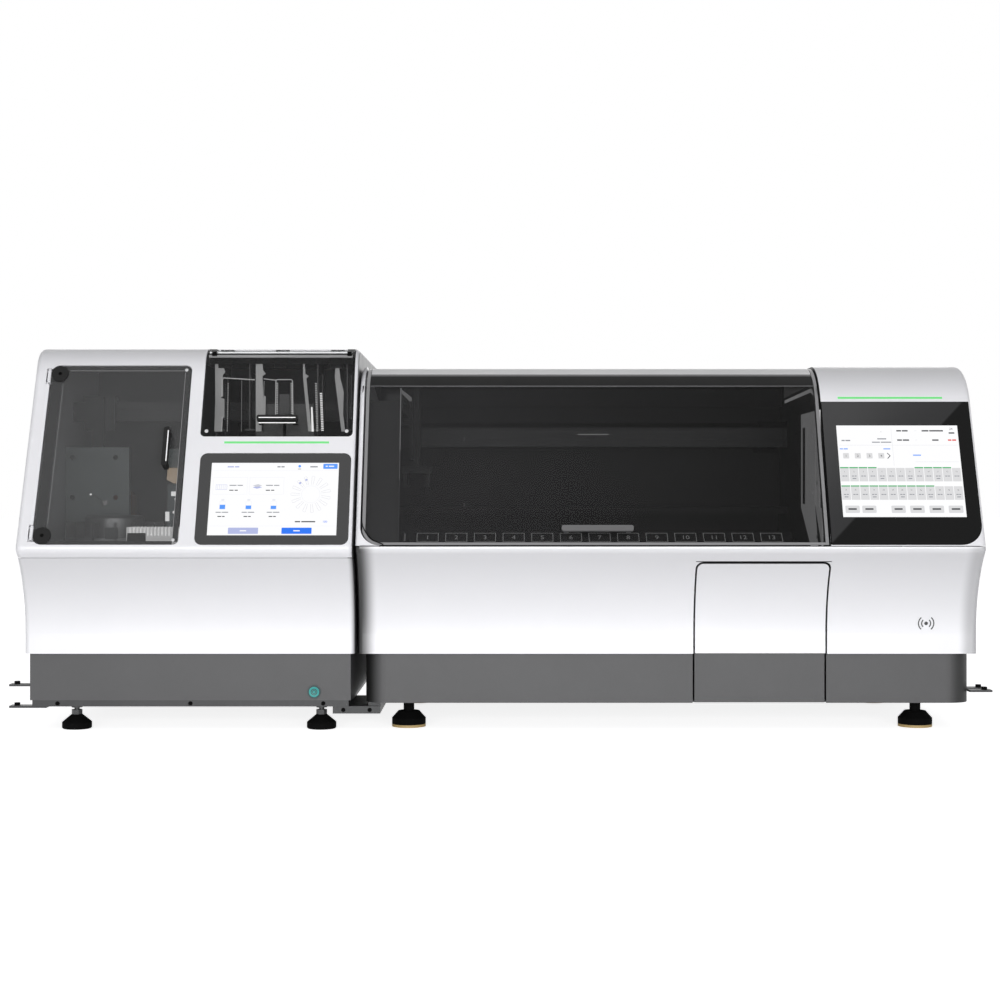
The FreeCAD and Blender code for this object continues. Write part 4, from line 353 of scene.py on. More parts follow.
# Second finishes: painted shade on the side walls in the gap, the walls round the chamber, the guide plate,
# whose grey glows as painted light, the upright plate behind the door and the hinge of the door, which is
# painted like the cover
WALL_T = 0.0015
SIDE_GAP_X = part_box("coverslipper_upper_cover")[1].x
CHAMBER_RIGHT = 0.612
CHAMBER_FRONT_D = 0.02
CHAMBER_REAR_D = 0.4
CHAMBER_REAR_Z = (0.4, 0.69)
HOOD_REST_D = (0.179, 0.193)
HOOD_REST_Z = (0.652, 0.67)
GUIDE_PLATE_X = CHAMBER_RIGHT - 0.0031
GUIDE_PLATE_LOW = 0.35
GUIDE_PLATE_BACK_D = 0.315
UPRIGHT_D = (0.355, 0.371)
UPRIGHT_LOW = 0.34
UPRIGHT_RIGHT = -0.762
DOOR_HINGE_X = -0.8682


def depth(p):
    """Distance behind the front lip."""
    return p.y - LIP_Y


def within(value, limits):
    return limits[0] < value < limits[1]


def repaint(node, finish, inside):
    """Give another finish to the faces of a node whose middle lies in a region."""
    mesh = NODES[node].data
    mesh.materials.append(finish)
    for polygon in mesh.polygons:
        if inside(polygon.center):
            polygon.material_index = len(mesh.materials) - 1


for cover in ("coverslipper_upper_cover", "coverslipper_lower_cover"):
    repaint(cover, side_shade, lambda p: p.x > SIDE_GAP_X - WALL_T)
repaint("console_housing", chamber, lambda p: p.x < CHAMBER_RIGHT + WALL_T and depth(p) > CHAMBER_FRONT_D)
repaint("stainer_rim_cover", chamber, lambda p: depth(p) > CHAMBER_REAR_D and within(p.z, CHAMBER_REAR_Z))
repaint("stainer_rim_cover", band_dark, lambda p: within(depth(p), HOOD_REST_D) and within(p.z, HOOD_REST_Z))
repaint("chamber_liner", guide_grey,
        lambda p: p.x > GUIDE_PLATE_X and p.z > GUIDE_PLATE_LOW and depth(p) < GUIDE_PLATE_BACK_D)
repaint("coverslipper_deck", plate_blue,
        lambda p: within(depth(p), UPRIGHT_D) and p.z > UPRIGHT_LOW and p.x < UPRIGHT_RIGHT)
for hinge_node in ("hinge_blocks", "hinge_pins", "door_hinge_clamps"):
    repaint(hinge_node, white, lambda p: p.x < DOOR_HINGE_X)


# Shapes
SHARP_ANGLE = math.radians(35)


def piece(name, mesh, body, materials):
    """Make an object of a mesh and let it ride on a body."""
    for material in materials:
        mesh.materials.append(material)
    made = bpy.data.objects.new(name, mesh)
    scene.collection.objects.link(made)
    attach(made, body)
    return made


def seen(px, py, d):
    """Point that the photograph shows at px, py when it lies d behind the front lip."""
    wide = PHOTO_SCALE * (1 + d / PHOTO_RANGE)
    return Vector(((px - PHOTO_MIDDLE[0]) * wide, LIP_Y + d, EYE.z - (py - PHOTO_MIDDLE[1]) * wide))


def seen_line(places, d):
    return [seen(px, py, d) for px, py in places]


def span(left, right, first, last):
    """Corners of an upright rectangle between two edges each way."""
    return (left, first), (right, first), (right, last), (left, last)


def circle(u, v, r, start, steps, turn=360):
    """Points on a circle about u, v, from an angle on."""
    points = []
    for i in range(steps):
        a = math.radians(start + turn * i / steps)
        points.append((u + r * math.cos(a), v + r * math.sin(a)))
    return points


class Face:
    """Flat sloping panel: u runs right from its left edge, v up the slope, w out of it."""

    def __init__(self, node, x_low=-9.0, x_high=9.0):
        points = [v.co for v in NODES[node].data.vertices if x_low <= v.co.x <= x_high]
        low = min(points, key=lambda p: (round(p.y, 5), -p.z))
        high = max(points, key=lambda p: (round(p.z, 5), -p.y))
        left = min(p.x for p in points)
        rise = Vector((0, high.y - low.y, high.z - low.z))
        self.width = max(p.x for p in points) - left
        self.height = rise.length
        self.origin = Vector((left, low.y, low.z))
        self.up = rise.normalized()
        self.out = Vector((0, -self.up.z, self.up.y))

    def at(self, u, v, w=0.0):
        return self.origin + Vector((u, 0, 0)) + self.up * v + self.out * w

    def seen(self, px, py, w=0.0):
        """Place (u, v) at height w over the panel that the photograph shows at px, py."""
        ray = seen(px, py, 0) - EYE
        start = self.origin + self.out * w
        spot = EYE + ray * ((start - EYE).dot(self.out) / ray.dot(self.out)) - start
        return spot.x, spot.dot(self.up)


class SlopePart(Face):
    """Flat lower part of a curved sheet, as far up as the slope runs."""

    def __init__(self, node, slope, height):
        points = [v.co for v in NODES[node].data.vertices]
        low = min(points, key=lambda p: (round(p.y, 5), -p.z))
        left = min(p.x for p in points)
        self.width = max(p.x for p in points) - left
        self.height = height
        self.origin = Vector((left, low.y, low.z))
        self.up = slope.up
        self.out = slope.out


glyphs = {}


def glyph(text):
    """Flat outline mesh of a number, 1 high, as points and faces."""
    if text not in glyphs:
        curve = bpy.data.curves.new("glyph", "FONT")
        curve.body = text
        curve.align_x = "CENTER"
        curve.align_y = "CENTER"
        curve.resolution_u = 3
        source = bpy.data.objects.new("glyph", curve)
        scene.collection.objects.link(source)
        bpy.context.view_layer.update()
        mesh = bpy.data.meshes.new_from_object(source.evaluated_get(bpy.context.evaluated_depsgraph_get()))
        points = [tuple(v.co) for v in mesh.vertices]
        middle = (max(p[1] for p in points) + min(p[1] for p in points)) / 2
        glyphs[text] = ([(p[0], p[1] - middle) for p in points], [tuple(f.vertices) for f in mesh.polygons])
        bpy.data.objects.remove(source)
        bpy.data.meshes.remove(mesh)
        bpy.data.curves.remove(curve)
    return glyphs[text]


class Art:
    """Printed or lit shapes a hair above a panel, as one mesh with a material for each colour."""

    LAYER = 0.00004

    def __init__(self, at, palette):
        self.at = at
        self.palette = palette
        self.names = []
        self.bm = bmesh.new()

    def faces(self, points, faces, colour, layer):
        if colour not in self.names:
            self.names.append(colour)
        lift = self.LAYER * (layer + 1)
        corners = [self.bm.verts.new(self.at(u, v, lift)) for u, v in points]
        for face in faces:
            made = self.bm.faces.new([corners[i] for i in face])
            made.material_index = self.names.index(colour)

    def shape(self, points, colour, layer=0):
        self.faces(points, [range(len(points))], colour, layer)

    def rect(self, u, v, w, h, colour, layer=0):
        self.shape([(u, v), (u + w, v), (u + w, v + h), (u, v + h)], colour, layer)

    def outline(self, u, v, w, h, line, colour, layer=0):
        self.rect(u, v, w, line, colour, layer)
        self.rect(u, v + h - line, w, line, colour, layer)
        self.rect(u, v + line, line, h - 2 * line, colour, layer)
        self.rect(u + w - line, v + line, line, h - 2 * line, colour, layer)

    def soft_rect(self, u, v, w, h, r, colour, layer=0):
        """Rectangle with rounded corners."""
        points = []
        for cu, cv, start in ((u + w - r, v + r, 270), (u + w - r, v + h - r, 0), (u + r, v + h - r, 90),
                              (u + r, v + r, 180)):
            points += circle(cu, cv, r, start, 5, 112.5)
        self.shape(points, colour, layer)

    def arc(self, u, v, r0, r1, start, end, colour, layer=0, steps=24):
        """Part of a ring between two radii and two angles."""
        for i in range(steps):
            a = math.radians(start + (end - start) * i / steps)
            b = math.radians(start + (end - start) * (i + 1) / steps)
            corners = ((r0, a), (r1, a), (r1, b), (r0, b))
            self.shape([(u + r * math.cos(t), v + r * math.sin(t)) for r, t in corners], colour, layer)

    def disc(self, u, v, r, colour, layer=0, steps=24):
        self.shape(circle(u, v, r, 0, steps), colour, layer)

    def number(self, text, u, v, size, colour, layer=0):
        points, faces = glyph(text)
        self.faces([(u + x * size, v + y * size) for x, y in points], faces, colour, layer)

    def words(self, u, v, widths, h, gap, colour, layer=0):
        """Short bars that stand for a line of small lettering."""
        for width in widths:
            self.rect(u, v, width, h, colour, layer)
            u += width + gap

    def build(self, name, body, slot):
        mesh = bpy.data.meshes.new(name)
        self.bm.to_mesh(mesh)
        self.bm.free()
        return piece(name, mesh, body, [self.palette[n] for n in self.names])


class Solids:
    """Plates, turned pieces and bent rods gathered into one mesh."""

    def __init__(self):
        self.bm = bmesh.new()

    def skin(self, rings, material):
        """Body with faces between rings of points and a lid at each end."""
        part = bmesh.new()
        rings = [[part.verts.new(p) for p in ring] for ring in rings]
        for low, high in zip(rings, rings[1:]):
            for i in range(len(low)):
                j = (i + 1) % len(low)
                part.faces.new([low[i], low[j], high[j], high[i]])
        part.faces.new(list(reversed(rings[0])))
        part.faces.new(rings[-1])
        for face in part.faces:
            face.material_index = material
        mesh = bpy.data.meshes.new("part")
        part.to_mesh(mesh)
        part.free()
        self.bm.from_mesh(mesh)
        bpy.data.meshes.remove(mesh)

    def turned(self, centre, axis, profile, material=0, steps=24):
        """Body turned about an axis through centre, from (radius, height) points."""
        axis = Vector(axis).normalized()
        side = axis.orthogonal().normalized()
        other = axis.cross(side)
        rings = []
        for r, h in profile:
            rings.append([centre + axis * h + side * x + other * y for x, y in circle(0, 0, r, 0, steps)])
        self.skin(rings, material)

    def rod(self, line, r, material=0, steps=10):
        """Round rod that follows a line of points."""
        rings = []
        side = None
        for i, p in enumerate(line):
            along = (line[min(i + 1, len(line) - 1)] - line[max(i - 1, 0)]).normalized()
            side = along.orthogonal() if side is None else side - along * side.dot(along)
            side.normalize()
            other = along.cross(side)
            rings.append([p + side * x + other * y for x, y in circle(0, 0, r, 0, steps)])
        self.skin(rings, material)

    def panel(self, corners, through, material=0):
        """Flat plate between corner points, as thick as the vector through it."""
        self.skin([corners, [p + through for p in corners]], material)

    def slab(self, outline, d, thick, material=0):
        """Upright plate with an outline read off the photograph, its front d behind the lip."""
        self.panel(seen_line(outline, d), Vector((0, thick, 0)), material)

    def slabs(self, table):
        """Upright plates from a table of outlines, depths, thicknesses and materials."""
        for outline, d, thick, material in table:
            self.slab(outline, d, thick, material)

    def wires(self, table, d):
        """Round rods at one depth from a table of lines, radii and materials."""
        for line, r, material in table:
            self.rod(seen_line(line, d), r, material)

    def build(self, name, body, slot, materials, smooth=True):
        mesh = bpy.data.meshes.new(name)
        bmesh.ops.recalc_face_normals(self.bm, faces=self.bm.faces[:])
        self.bm.to_mesh(mesh)
        self.bm.free()
        made = piece(name, mesh, body, materials)
        if smooth:
            mesh.shade_smooth()
            mesh.set_sharp_from_angle(angle=SHARP_ANGLE)
        return made


def dome(r, h):
    """Profile of a low rounded cap, which ends in a point too small to see."""
    profile = []
    for i in range(5):
        a = math.radians(22.5 * i)
        profile.append((max(r * math.cos(a), 0.00005), h * math.sin(a)))
    return profile


# Coverslipper display: status cards, bottle levels, the rotary store and three buttons.
# Places on a display run from its lower left corner. A line of lettering holds u, v, the widths of its bars,
# their height, the gap between them, the ink and the layer.
COV_MACHINE_RIGHT = -0.27
RULE = 0.0004
BUTTON_R = 0.0012
COV_RULE_U = 0.002
COV_RULE_W = 0.236
COV_RULE_VS = (0.1315, 0.0185)
COV_USER = (0.166, 0.141, 0.0026)
COV_BUTTONS = ((0.2105, 0.1355, 0.027, 0.0105, "sky"), (0.0386, 0.0028, 0.056, 0.0126, "lavender"),
               (0.138, 0.0028, 0.056, 0.0126, "blue"))
COV_COUNT = ("100", 0.218, 0.0275, 0.006, "blue", 1)
COV_LINES = (
    (0.03, 0.1385, (0.012, 0.008), 0.0026, 0.002, "lavender", 1),
    (0.124, 0.1385, (0.006, 0.006), 0.0026, 0.0015, "grey", 1),
    (0.163, 0.1345, (0.006,), 0.0014, 0.001, "grey", 1),
    (0.186, 0.1385, (0.014,), 0.0026, 0.001, "grey", 1),
    (0.215, 0.1398, (0.004, 0.01), 0.0022, 0.002, "white", 2),
    (0.162, 0.0262, (0.01, 0.026), 0.0024, 0.002, "text", 1),
    (0.0605, 0.008, (0.012,), 0.0022, 0.001, "white", 2),
    (0.16, 0.008, (0.012,), 0.0022, 0.001, "white", 2),
)
CARD_V = 0.083
CARD_W = 0.0645
CARD_H = 0.035
SLIDES_CARD_U = 0.005
COVERS_CARD_U = 0.0735
CARD_LINES = ((0.031, 0.1005, (0.013, 0.01), 0.0019, 0.002, "grey", 1),
              (0.031, 0.0905, (0.008, 0.006), 0.0019, 0.002, "text", 1))
SLIDE_ICON = (0.0055, 0.0925, 0.021, 0.0105)
SLIDE_ICON_BARS = 5
SLIDE_ICON_FIRST = 0.0085
SLIDE_ICON_PITCH = 0.0035
COVER_ICON = ((0.006, 0.0975), (0.014, 0.0945), (0.024, 0.0975), (0.016, 0.1005))
COVER_ICON_STEP = 0.0035
BOTTLE_V = 0.0636
BOTTLE_US = (0.0252, 0.0739, 0.1207)
BOTTLE_FILLS = (0.55, 0.45, 0.42)
BOTTLE_W = 0.011
BOTTLE_H = 0.016
BOTTLE_DROP = 0.011
BOTTLE_NECK_W = 0.0056
BOTTLE_NECK_H = 0.0036
BOTTLE_NECK_UP = 0.0062
BOTTLE_LINES = ((-0.012, 0.0455, (0.01, 0.012), 0.0019, 0.0015, "grey", 1),
                (-0.008, 0.037, (0.007, 0.005), 0.0019, 0.0015, "text", 1))
RING_U = 0.1893
RING_V = 0.0832
RING_OUT = 0.0366
RING_IN = 0.017
RING_SLOTS = 15
RING_START = 12
RING_FULL = (4, 5)
RING_FULL_AT = 0.031
RING_FULL_R = 0.0022
SLOT_RS = (0.02, RING_OUT)
SLOT_SIDE = 0.075
SLOT_CAP = 4.3
SLOT_LINE = 0.0005
cov_screen = Face("display_screens", x_high=COV_MACHINE_RIGHT)


def moved(line, u):
    return (line[0] + u, *line[1:])


def bottle_icon(art, u, fill):
    """Small bottle outline with its level in blue and two lines of lettering below."""
    low = BOTTLE_V - BOTTLE_DROP
    art.outline(u - BOTTLE_W / 2, low, BOTTLE_W, BOTTLE_H, RULE, "pale", 1)
    art.rect(u - BOTTLE_NECK_W / 2, BOTTLE_V + BOTTLE_NECK_UP, BOTTLE_NECK_W, BOTTLE_NECK_H, "pale", 1)
    art.rect(u - BOTTLE_W / 2 + RULE, low + RULE, BOTTLE_W - 2 * RULE, BOTTLE_H * fill, "sky", 2)
    for line in BOTTLE_LINES:
        art.words(*moved(line, u))


def store_ring(art):
    """Plan of the rotary store: a hub with the slots round it."""
    art.arc(RING_U, RING_V, RING_IN, RING_IN + SLOT_LINE, 0, 360, "pale", 1, 36)
    for i in range(RING_SLOTS):
        degrees = 360 * i / RING_SLOTS + RING_START
        a = math.radians(degrees)
        for b in (a - SLOT_SIDE, a + SLOT_SIDE):
            across = (-math.sin(b) * SLOT_LINE / 2, math.cos(b) * SLOT_LINE / 2)
            ends = [(RING_U + r * math.cos(b), RING_V + r * math.sin(b)) for r in SLOT_RS]
            points = [(u - across[0], v - across[1]) for u, v in ends]
            points += [(u + across[0], v + across[1]) for u, v in reversed(ends)]
            art.shape(points, "line", 1)
        tip = RING_OUT + SLOT_LINE
        art.arc(RING_U, RING_V, tip, tip + RULE, degrees - SLOT_CAP, degrees + SLOT_CAP, "line", 1, 2)
        if i in RING_FULL:
            u, v = RING_U + RING_FULL_AT * math.cos(a), RING_V + RING_FULL_AT * math.sin(a)
            art.disc(u, v, RING_FULL_R, "lavender", 2, 12)


def status_cards(art):
    """Cards for the slide racks and the cover glasses, each with its icon."""
    for u in (SLIDES_CARD_U, COVERS_CARD_U):
        art.outline(u, CARD_V, CARD_W, CARD_H, RULE, "pale", 1)
        for line in CARD_LINES:
            art.words(*moved(line, u))
    art.outline(*moved(SLIDE_ICON, SLIDES_CARD_U), 0.0005, "lavender", 1)
    for k in range(SLIDE_ICON_BARS):
        u = SLIDES_CARD_U + SLIDE_ICON_FIRST + k * SLIDE_ICON_PITCH
        art.rect(u, SLIDE_ICON[1], RULE, SLIDE_ICON[3], "lavender", 1)
    for ink, rise, layer in (("lavender", 0, 1), ("line", COVER_ICON_STEP, 2)):
        art.shape([(COVERS_CARD_U + u, v + rise) for u, v in COVER_ICON], ink, layer)


def coverslipper_display():
    art = Art(cov_screen.at, INKS)
    for v in COV_RULE_VS:
        art.rect(COV_RULE_U, v, COV_RULE_W, RULE, "pale", 1)
    art.disc(*COV_USER, "sky", 1, 16)
    for u, v, w, h, ink in COV_BUTTONS:
        art.soft_rect(u, v, w, h, BUTTON_R, ink, 1)
    for line in COV_LINES:
        art.words(*line)
    art.number(*COV_COUNT)
    status_cards(art)
    store_ring(art)
    for u, fill in zip(BOTTLE_US, BOTTLE_FILLS):
        bottle_icon(art, u, fill)
    art.build("coverslipper_screen_content", "frame", "screen")


coverslipper_display()


# Console display: readings, four programs, 26 stations in two rows and six buttons
STATION_CELLS = 13
CELL_PITCH = 0.01755
CELL_W = 0.0163
CELL_H = 0.0275
CELL_LEFT = 0.001
CELL_NUMBER_V = 0.02
CELL_NUMBER = 0.0036
CELL_BAR = 0.0022
CELL_BAR_V = 0.0269
CELL_ROWS = ((0.0719, 1, (1, 2, 3, 4, 9, 10, 11, 12)), (0.0346, 14, tuple(range(1, 11))))
CELL_LINE = (0.0036, 0.01, (0.0042, 0.0038), 0.0018, 0.001, "grey", 2)
CELL_SECOND_LINE = (0.0046, 0.005, (0.007,), 0.0018, 0.001, "grey", 2)
PROGRAMS = 4
PROGRAM_FIRST = 0.0143
PROGRAM_PITCH = 0.0222
PROGRAM_W = 0.0112
PROGRAM_V = 0.1187
CHEVRON = ((0.0915, 0.13), (0.0935, 0.13), (0.0985, 0.1243), (0.0965, 0.1243))
STN_COUNT = ("24", 0.2175, 0.18, 0.0065, "text", 1)
STN_RULES = (
    (0.083, 0.1735, 0.0022, 0.0006, "grey"),
    (0.1035, 0.104, RULE, 0.076, "line"),
    (0.148, 0.1757, 0.004, 0.0005, "line"),
    (0.148, 0.1565, 0.004, 0.0005, "line"),
    (0.003, 0.146, 0.224, RULE, "line"),
    (0.144, 0.1116, 0.083, RULE, "line"),
)
STN_LINES = (
    (0.008, 0.1545, (0.006, 0.009), 0.0026, 0.0014, "grey", 1),
    (0.076, 0.158, (0.017,), 0.0024, 0.001, "grey", 1),
    (0.0655, 0.1512, (0.015, 0.02), 0.0022, 0.0016, "grey", 1),
    (0.1136, 0.1745, (0.009, 0.011), 0.0028, 0.0016, "text", 1),
    (0.1616, 0.1745, (0.013, 0.026), 0.0028, 0.0016, "text", 1),
    (0.1136, 0.1553, (0.009, 0.012), 0.0028, 0.0016, "text", 1),
    (0.18, 0.1553, (0.012,), 0.0028, 0.0016, "text", 1),
    (0.2125, 0.17, (0.011,), 0.0028, 0.001, "text", 1),
    (0.21, 0.1553, (0.0065, 0.0075), 0.0028, 0.0014, "red", 1),
    (0.0035, 0.1375, (0.006, 0.008), 0.002, 0.0012, "sky", 1),
    (0.086, 0.1375, (0.013,), 0.002, 0.0012, "sky", 1),
    (0.141, 0.1245, (0.015,), 0.0022, 0.001, "sky", 1),
)
BUTTON_EDGES = ((0.0053, 0.0318), (0.0368, 0.063), (0.0913, 0.1174), (0.1262, 0.1528), (0.1622, 0.1892),
                (0.198, 0.225))
BUTTON_V = 0.0084
BUTTON_H = 0.0146
BUTTON_RIM_R = 0.002
BUTTON_FACE_V = 0.009
BUTTON_FACE_H = 0.0138
BUTTON_FACE_R = 0.0018
BUTTON_BAR_IN = 0.0055
BUTTON_BAR_UP = 0.0061
BUTTON_BAR_H = 0.0032
stn_screen = Face("display_screens", x_low=COV_MACHINE_RIGHT)


def station_row(art, v, first, filled):
    """Row of station cells with their numbers; a filled station has a green bar."""
    for i in range(STATION_CELLS):
        u = CELL_LEFT + i * CELL_PITCH
        art.rect(u, v, CELL_W, CELL_H, "cell", 1)
        if i + 1 in filled:
            art.rect(u, v + CELL_BAR_V, CELL_W, CELL_BAR, "green", 2)
        art.number(str(first + i), u + CELL_W / 2, v + CELL_NUMBER_V, CELL_NUMBER, "text", 2)
        lines = (CELL_LINE, CELL_SECOND_LINE) if (first + i) % 3 == 2 else (CELL_LINE,)
        for line in lines:
            art.words(u + line[0], v + line[1], *line[2:])


def console_buttons(art):
    """Grey buttons along the lower edge, each with a rim and a bar of lettering."""
    for low, high in BUTTON_EDGES:
        w = high - low
        art.soft_rect(low, BUTTON_V, w, BUTTON_H, BUTTON_RIM_R, "line", 1)
        art.soft_rect(low + RULE, BUTTON_FACE_V, w - 2 * RULE, BUTTON_FACE_H, BUTTON_FACE_R, "cell", 2)
        bar = w - 2 * BUTTON_BAR_IN
        art.rect(low + BUTTON_BAR_IN, BUTTON_V + BUTTON_BAR_UP, bar, BUTTON_BAR_H, "text", 3)


def console_display():
    art = Art(stn_screen.at, INKS)
    for u, v, w, h, ink in STN_RULES:
        art.rect(u, v, w, h, ink, 1)
    for line in STN_LINES:
        art.words(*line)
    art.number(*STN_COUNT)
    for i in range(PROGRAMS):
        u = PROGRAM_FIRST + i * PROGRAM_PITCH
        art.soft_rect(u - PROGRAM_W / 2, PROGRAM_V, PROGRAM_W, PROGRAM_W, BUTTON_R, "cell", 1)
        art.number(str(i + 1), u, PROGRAM_V + PROGRAM_W / 2, 0.0066, "text", 2)
    art.shape(CHEVRON, "text", 1)
    art.shape([(u, 2 * CHEVRON[-1][1] - v) for u, v in reversed(CHEVRON)], "text", 1)
    for v, first, filled in CELL_ROWS:
        station_row(art, v, first, filled)
    console_buttons(art)
    art.build("console_screen_content", "frame", "screen")


console_display()


# Station numbers on the strip in front of the vessels. Shares are of the height of the strip or the label.
STATIONS = 13
STATION_PITCH = 0.0538
LABEL_W = 0.041
LABEL_SHARE = 0.66
LABEL_LOW_SHARE = 0.79
LABEL_LINE = 0.0012
LABEL_NUMBER_SHARE = 0.62
LABEL_SHIFT = 0.0025
END_MARK_GAP = 0.0175
END_MARK_W = 0.0032
END_MARK_LOW_SHARE = 0.1
END_MARK_SHARE = 0.85
strip_face = Face("station_number_strip")


def station_labels():
    art = Art(strip_face.at, PRINT)
    middle = strip_face.width / 2 - LABEL_SHIFT
    label_h = strip_face.height * LABEL_SHARE
    low = (strip_face.height - label_h) * LABEL_LOW_SHARE
    for i in range(STATIONS):
        u = middle + (i - (STATIONS - 1) / 2) * STATION_PITCH
        art.outline(u - LABEL_W / 2, low, LABEL_W, label_h, LABEL_LINE, "station", 1)
        art.number(str(i + 1), u, low + label_h / 2, label_h * LABEL_NUMBER_SHARE, "station", 1)
    end = middle - STATIONS / 2 * STATION_PITCH - END_MARK_GAP
    art.rect(end, low + label_h * END_MARK_LOW_SHARE, END_MARK_W, label_h * END_MARK_SHARE, "light", 1)
    art.build("station_numbers", "frame", "screen")


station_labels()


# Contactless reader mark on the apron, bent to its curve
APRON_ARC_R = 0.215
APRON_SET_BACK = 0.068
APRON_ARC_Z = 0.183
MARK_X = 0.803
MARK_Z = 0.2025
MARK_LIFT = 0.0007
MARK_DOT_R = 0.0034
MARK_ARC_RS = (0.0085, 0.0145)
MARK_ARC_T = 0.002
MARK_STARTS = (-50, 130)
MARK_SPAN = 100
apron_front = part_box("stainer_front_apron")[0].y


def apron_depth(z):
    """How far the apron's curve stands back from its front at a height."""
    rise = max(z - APRON_ARC_Z, 0)
    return APRON_SET_BACK - APRON_ARC_R + math.sqrt(APRON_ARC_R ** 2 - rise ** 2)


def on_apron(u, v, lift):
    z = MARK_Z + v
    return Vector((MARK_X + u, apron_front + apron_depth(z) - lift - MARK_LIFT, z))


def reader_mark():
    art = Art(on_apron, PRINT)
    art.disc(0, 0, MARK_DOT_R, "mark")
    for start in MARK_STARTS:
        for r in MARK_ARC_RS:
            art.arc(0, 0, r - MARK_ARC_T / 2, r + MARK_ARC_T / 2, start, start + MARK_SPAN, "mark", steps=14)
    art.build("reader_mark", "frame", "white")


reader_mark()


# Door: printed border, bright edge line, corner buttons and the bores of the round clamps
GLASS_T = 0.004
BORDER = 0.0105
BORDER_AT_HINGE = 0.02
BORDER_LOW = 0.00735
BORDER_INSET = 0.0008
BORDER_ENDS = 0.0068
BORDER_GAP = 0.0004
EDGE_LINE = 0.0007
EDGE_LINE_AT_HINGE = 0.00049
EDGE_TOP_ENDS = (0.036, 0.01)
EDGE_RIGHT_ENDS = (0.012, 0.014)
EDGE_HINGE_U = 0.0245
EDGE_HINGE_END = 0.04
BUTTON_SINK = 0.0002
BUTTON_RIM = 0.0006
BUTTON_DOME = 0.0008
DOOR_BUTTON_R = 0.0032
DOOR_BUTTON_IN = 0.0085
CLAMP_U = 0.017
CLAMP_END = 0.017
CLAMP_T = 0.002
CLAMP_SINK = 0.0004
CLAMP_SCREW = ((0.0034, 0), (0.0034, 0.0007), (0.0029, 0.0011), (0.0016, 0.0011), (0.0014, 0.0004))
door_face = Face("door_glass")


def door_border():
    """Opaque print behind the edge of the smoked door."""
    art = Art(lambda u, v, lift: door_face.at(u, v, -GLASS_T - BORDER_GAP - lift), PRINT)
    w, h = door_face.width, door_face.height
    inside = BORDER_INSET + BORDER_AT_HINGE
    between = w - inside - BORDER_INSET - BORDER
    art.rect(BORDER_INSET, BORDER_ENDS, BORDER_AT_HINGE, h - 2 * BORDER_ENDS, "border")
    art.rect(w - BORDER_INSET - BORDER, BORDER_ENDS, BORDER, h - 2 * BORDER_ENDS, "border")
    art.rect(inside, BORDER_INSET, between, BORDER_LOW, "border")
    art.rect(inside, h - BORDER_INSET - BORDER, between, BORDER, "border")
    art.build("door_border_print", "coverslipper_door", "smoked")


def door_edges():
    """Bright lines inside the border: along the top, down the right side and beside the hinge."""
    art = Art(door_face.at, PRINT)
    w, h = door_face.width, door_face.height
    art.rect(EDGE_TOP_ENDS[0], h - BORDER, w - sum(EDGE_TOP_ENDS), EDGE_LINE, "edge")
    art.rect(w - BORDER, EDGE_RIGHT_ENDS[0], EDGE_LINE, h - sum(EDGE_RIGHT_ENDS), "edge")
    art.rect(EDGE_HINGE_U, EDGE_HINGE_END, EDGE_LINE_AT_HINGE, h - 2 * EDGE_HINGE_END, "edge")
    art.build("door_edge_line", "coverslipper_door", "smoked")


def corner_buttons(face, places, name, body, r):
    """Light round buttons that the magnets sit behind."""
    solids = Solids()
    profile = [(r, 0)] + [(x, y + BUTTON_RIM) for x, y in dome(r, BUTTON_DOME)]
    for u, v in places:
        solids.turned(face.at(u, v, -BUTTON_SINK), face.out, profile)
    solids.build(name, body, "white", [PRINT["light"]])


def clamp_screws():
    solids = Solids()
    for v in (CLAMP_END, door_face.height - CLAMP_END):
        solids.turned(door_face.at(CLAMP_U, v, CLAMP_T - CLAMP_SINK), door_face.out, CLAMP_SCREW)
    solids.build("door_clamp_screws", "coverslipper_door", "black_plastic", [rubber])


door_border()
door_edges()
door_right = door_face.width - DOOR_BUTTON_IN
corner_buttons(door_face, ((door_right, DOOR_BUTTON_IN), (door_right, door_face.height - DOOR_BUTTON_IN)),
               "door_corner_buttons", "coverslipper_door", DOOR_BUTTON_R)
clamp_screws()

# Lid: corner buttons on its sloping part, and the fittings of the rack bay that show through the glass.
# Outlines and lines are places on the photograph. A plate also has its depth, thickness and material.
LID_SLOPE = 0.15
LID_BUTTON_R = 0.0036
LID_BUTTON_IN = 0.0095
LID_ROD_D = 0.168
LID_ROD = ((((208.6, 356.4), (352.0, 356.4)), 0.003, 0),)
LID_BLOCKS = (
    (span(211.3, 215.7, 351.6, 355.8), 0.16, 0.006, 1),
    (span(346.6, 351.0, 351.6, 355.8), 0.16, 0.006, 1),
    (span(209.0, 351.5, 351.8, 353.4), 0.17, 0.003, 2),
    (((208.6, 353.4), (352.2, 353.4), (352.4, 363.8), (208.2, 363.8)), 0.176, 0.002, 3),
)
HOOK_PLATE_D = 0.2035
HOOK_PLATE_T = 0.0012
HOOK_PLATES = (
    ((214.3, 364), (222, 364.5), (224.5, 372), (222, 375), (222.3, 396), (219.8, 397.5), (223.6, 399),
     (223.6, 417), (220.5, 419), (220.5, 431.5), (213.5, 431.5), (214.5, 400)),
    ((255, 361.4), (261.7, 361.4), (262.2, 370), (265, 373.8), (261.7, 376), (262.4, 395.3), (265, 396.4),
     (264.6, 414.4), (261.0, 416), (260.6, 431.4), (255, 431.4)),
    ((302.3, 361.4), (303.9, 361.4), (304.6, 373.8), (308, 376), (305.6, 378.5), (310.7, 431.4),
     (307.5, 431.4), (302.3, 377)),
    ((335, 363.7), (338.4, 367), (339.6, 378.4), (343, 392), (342.3, 414.4), (344.5, 431.4), (340.7, 431.4),
     (334, 377)),
)
RACK_D = 0.203
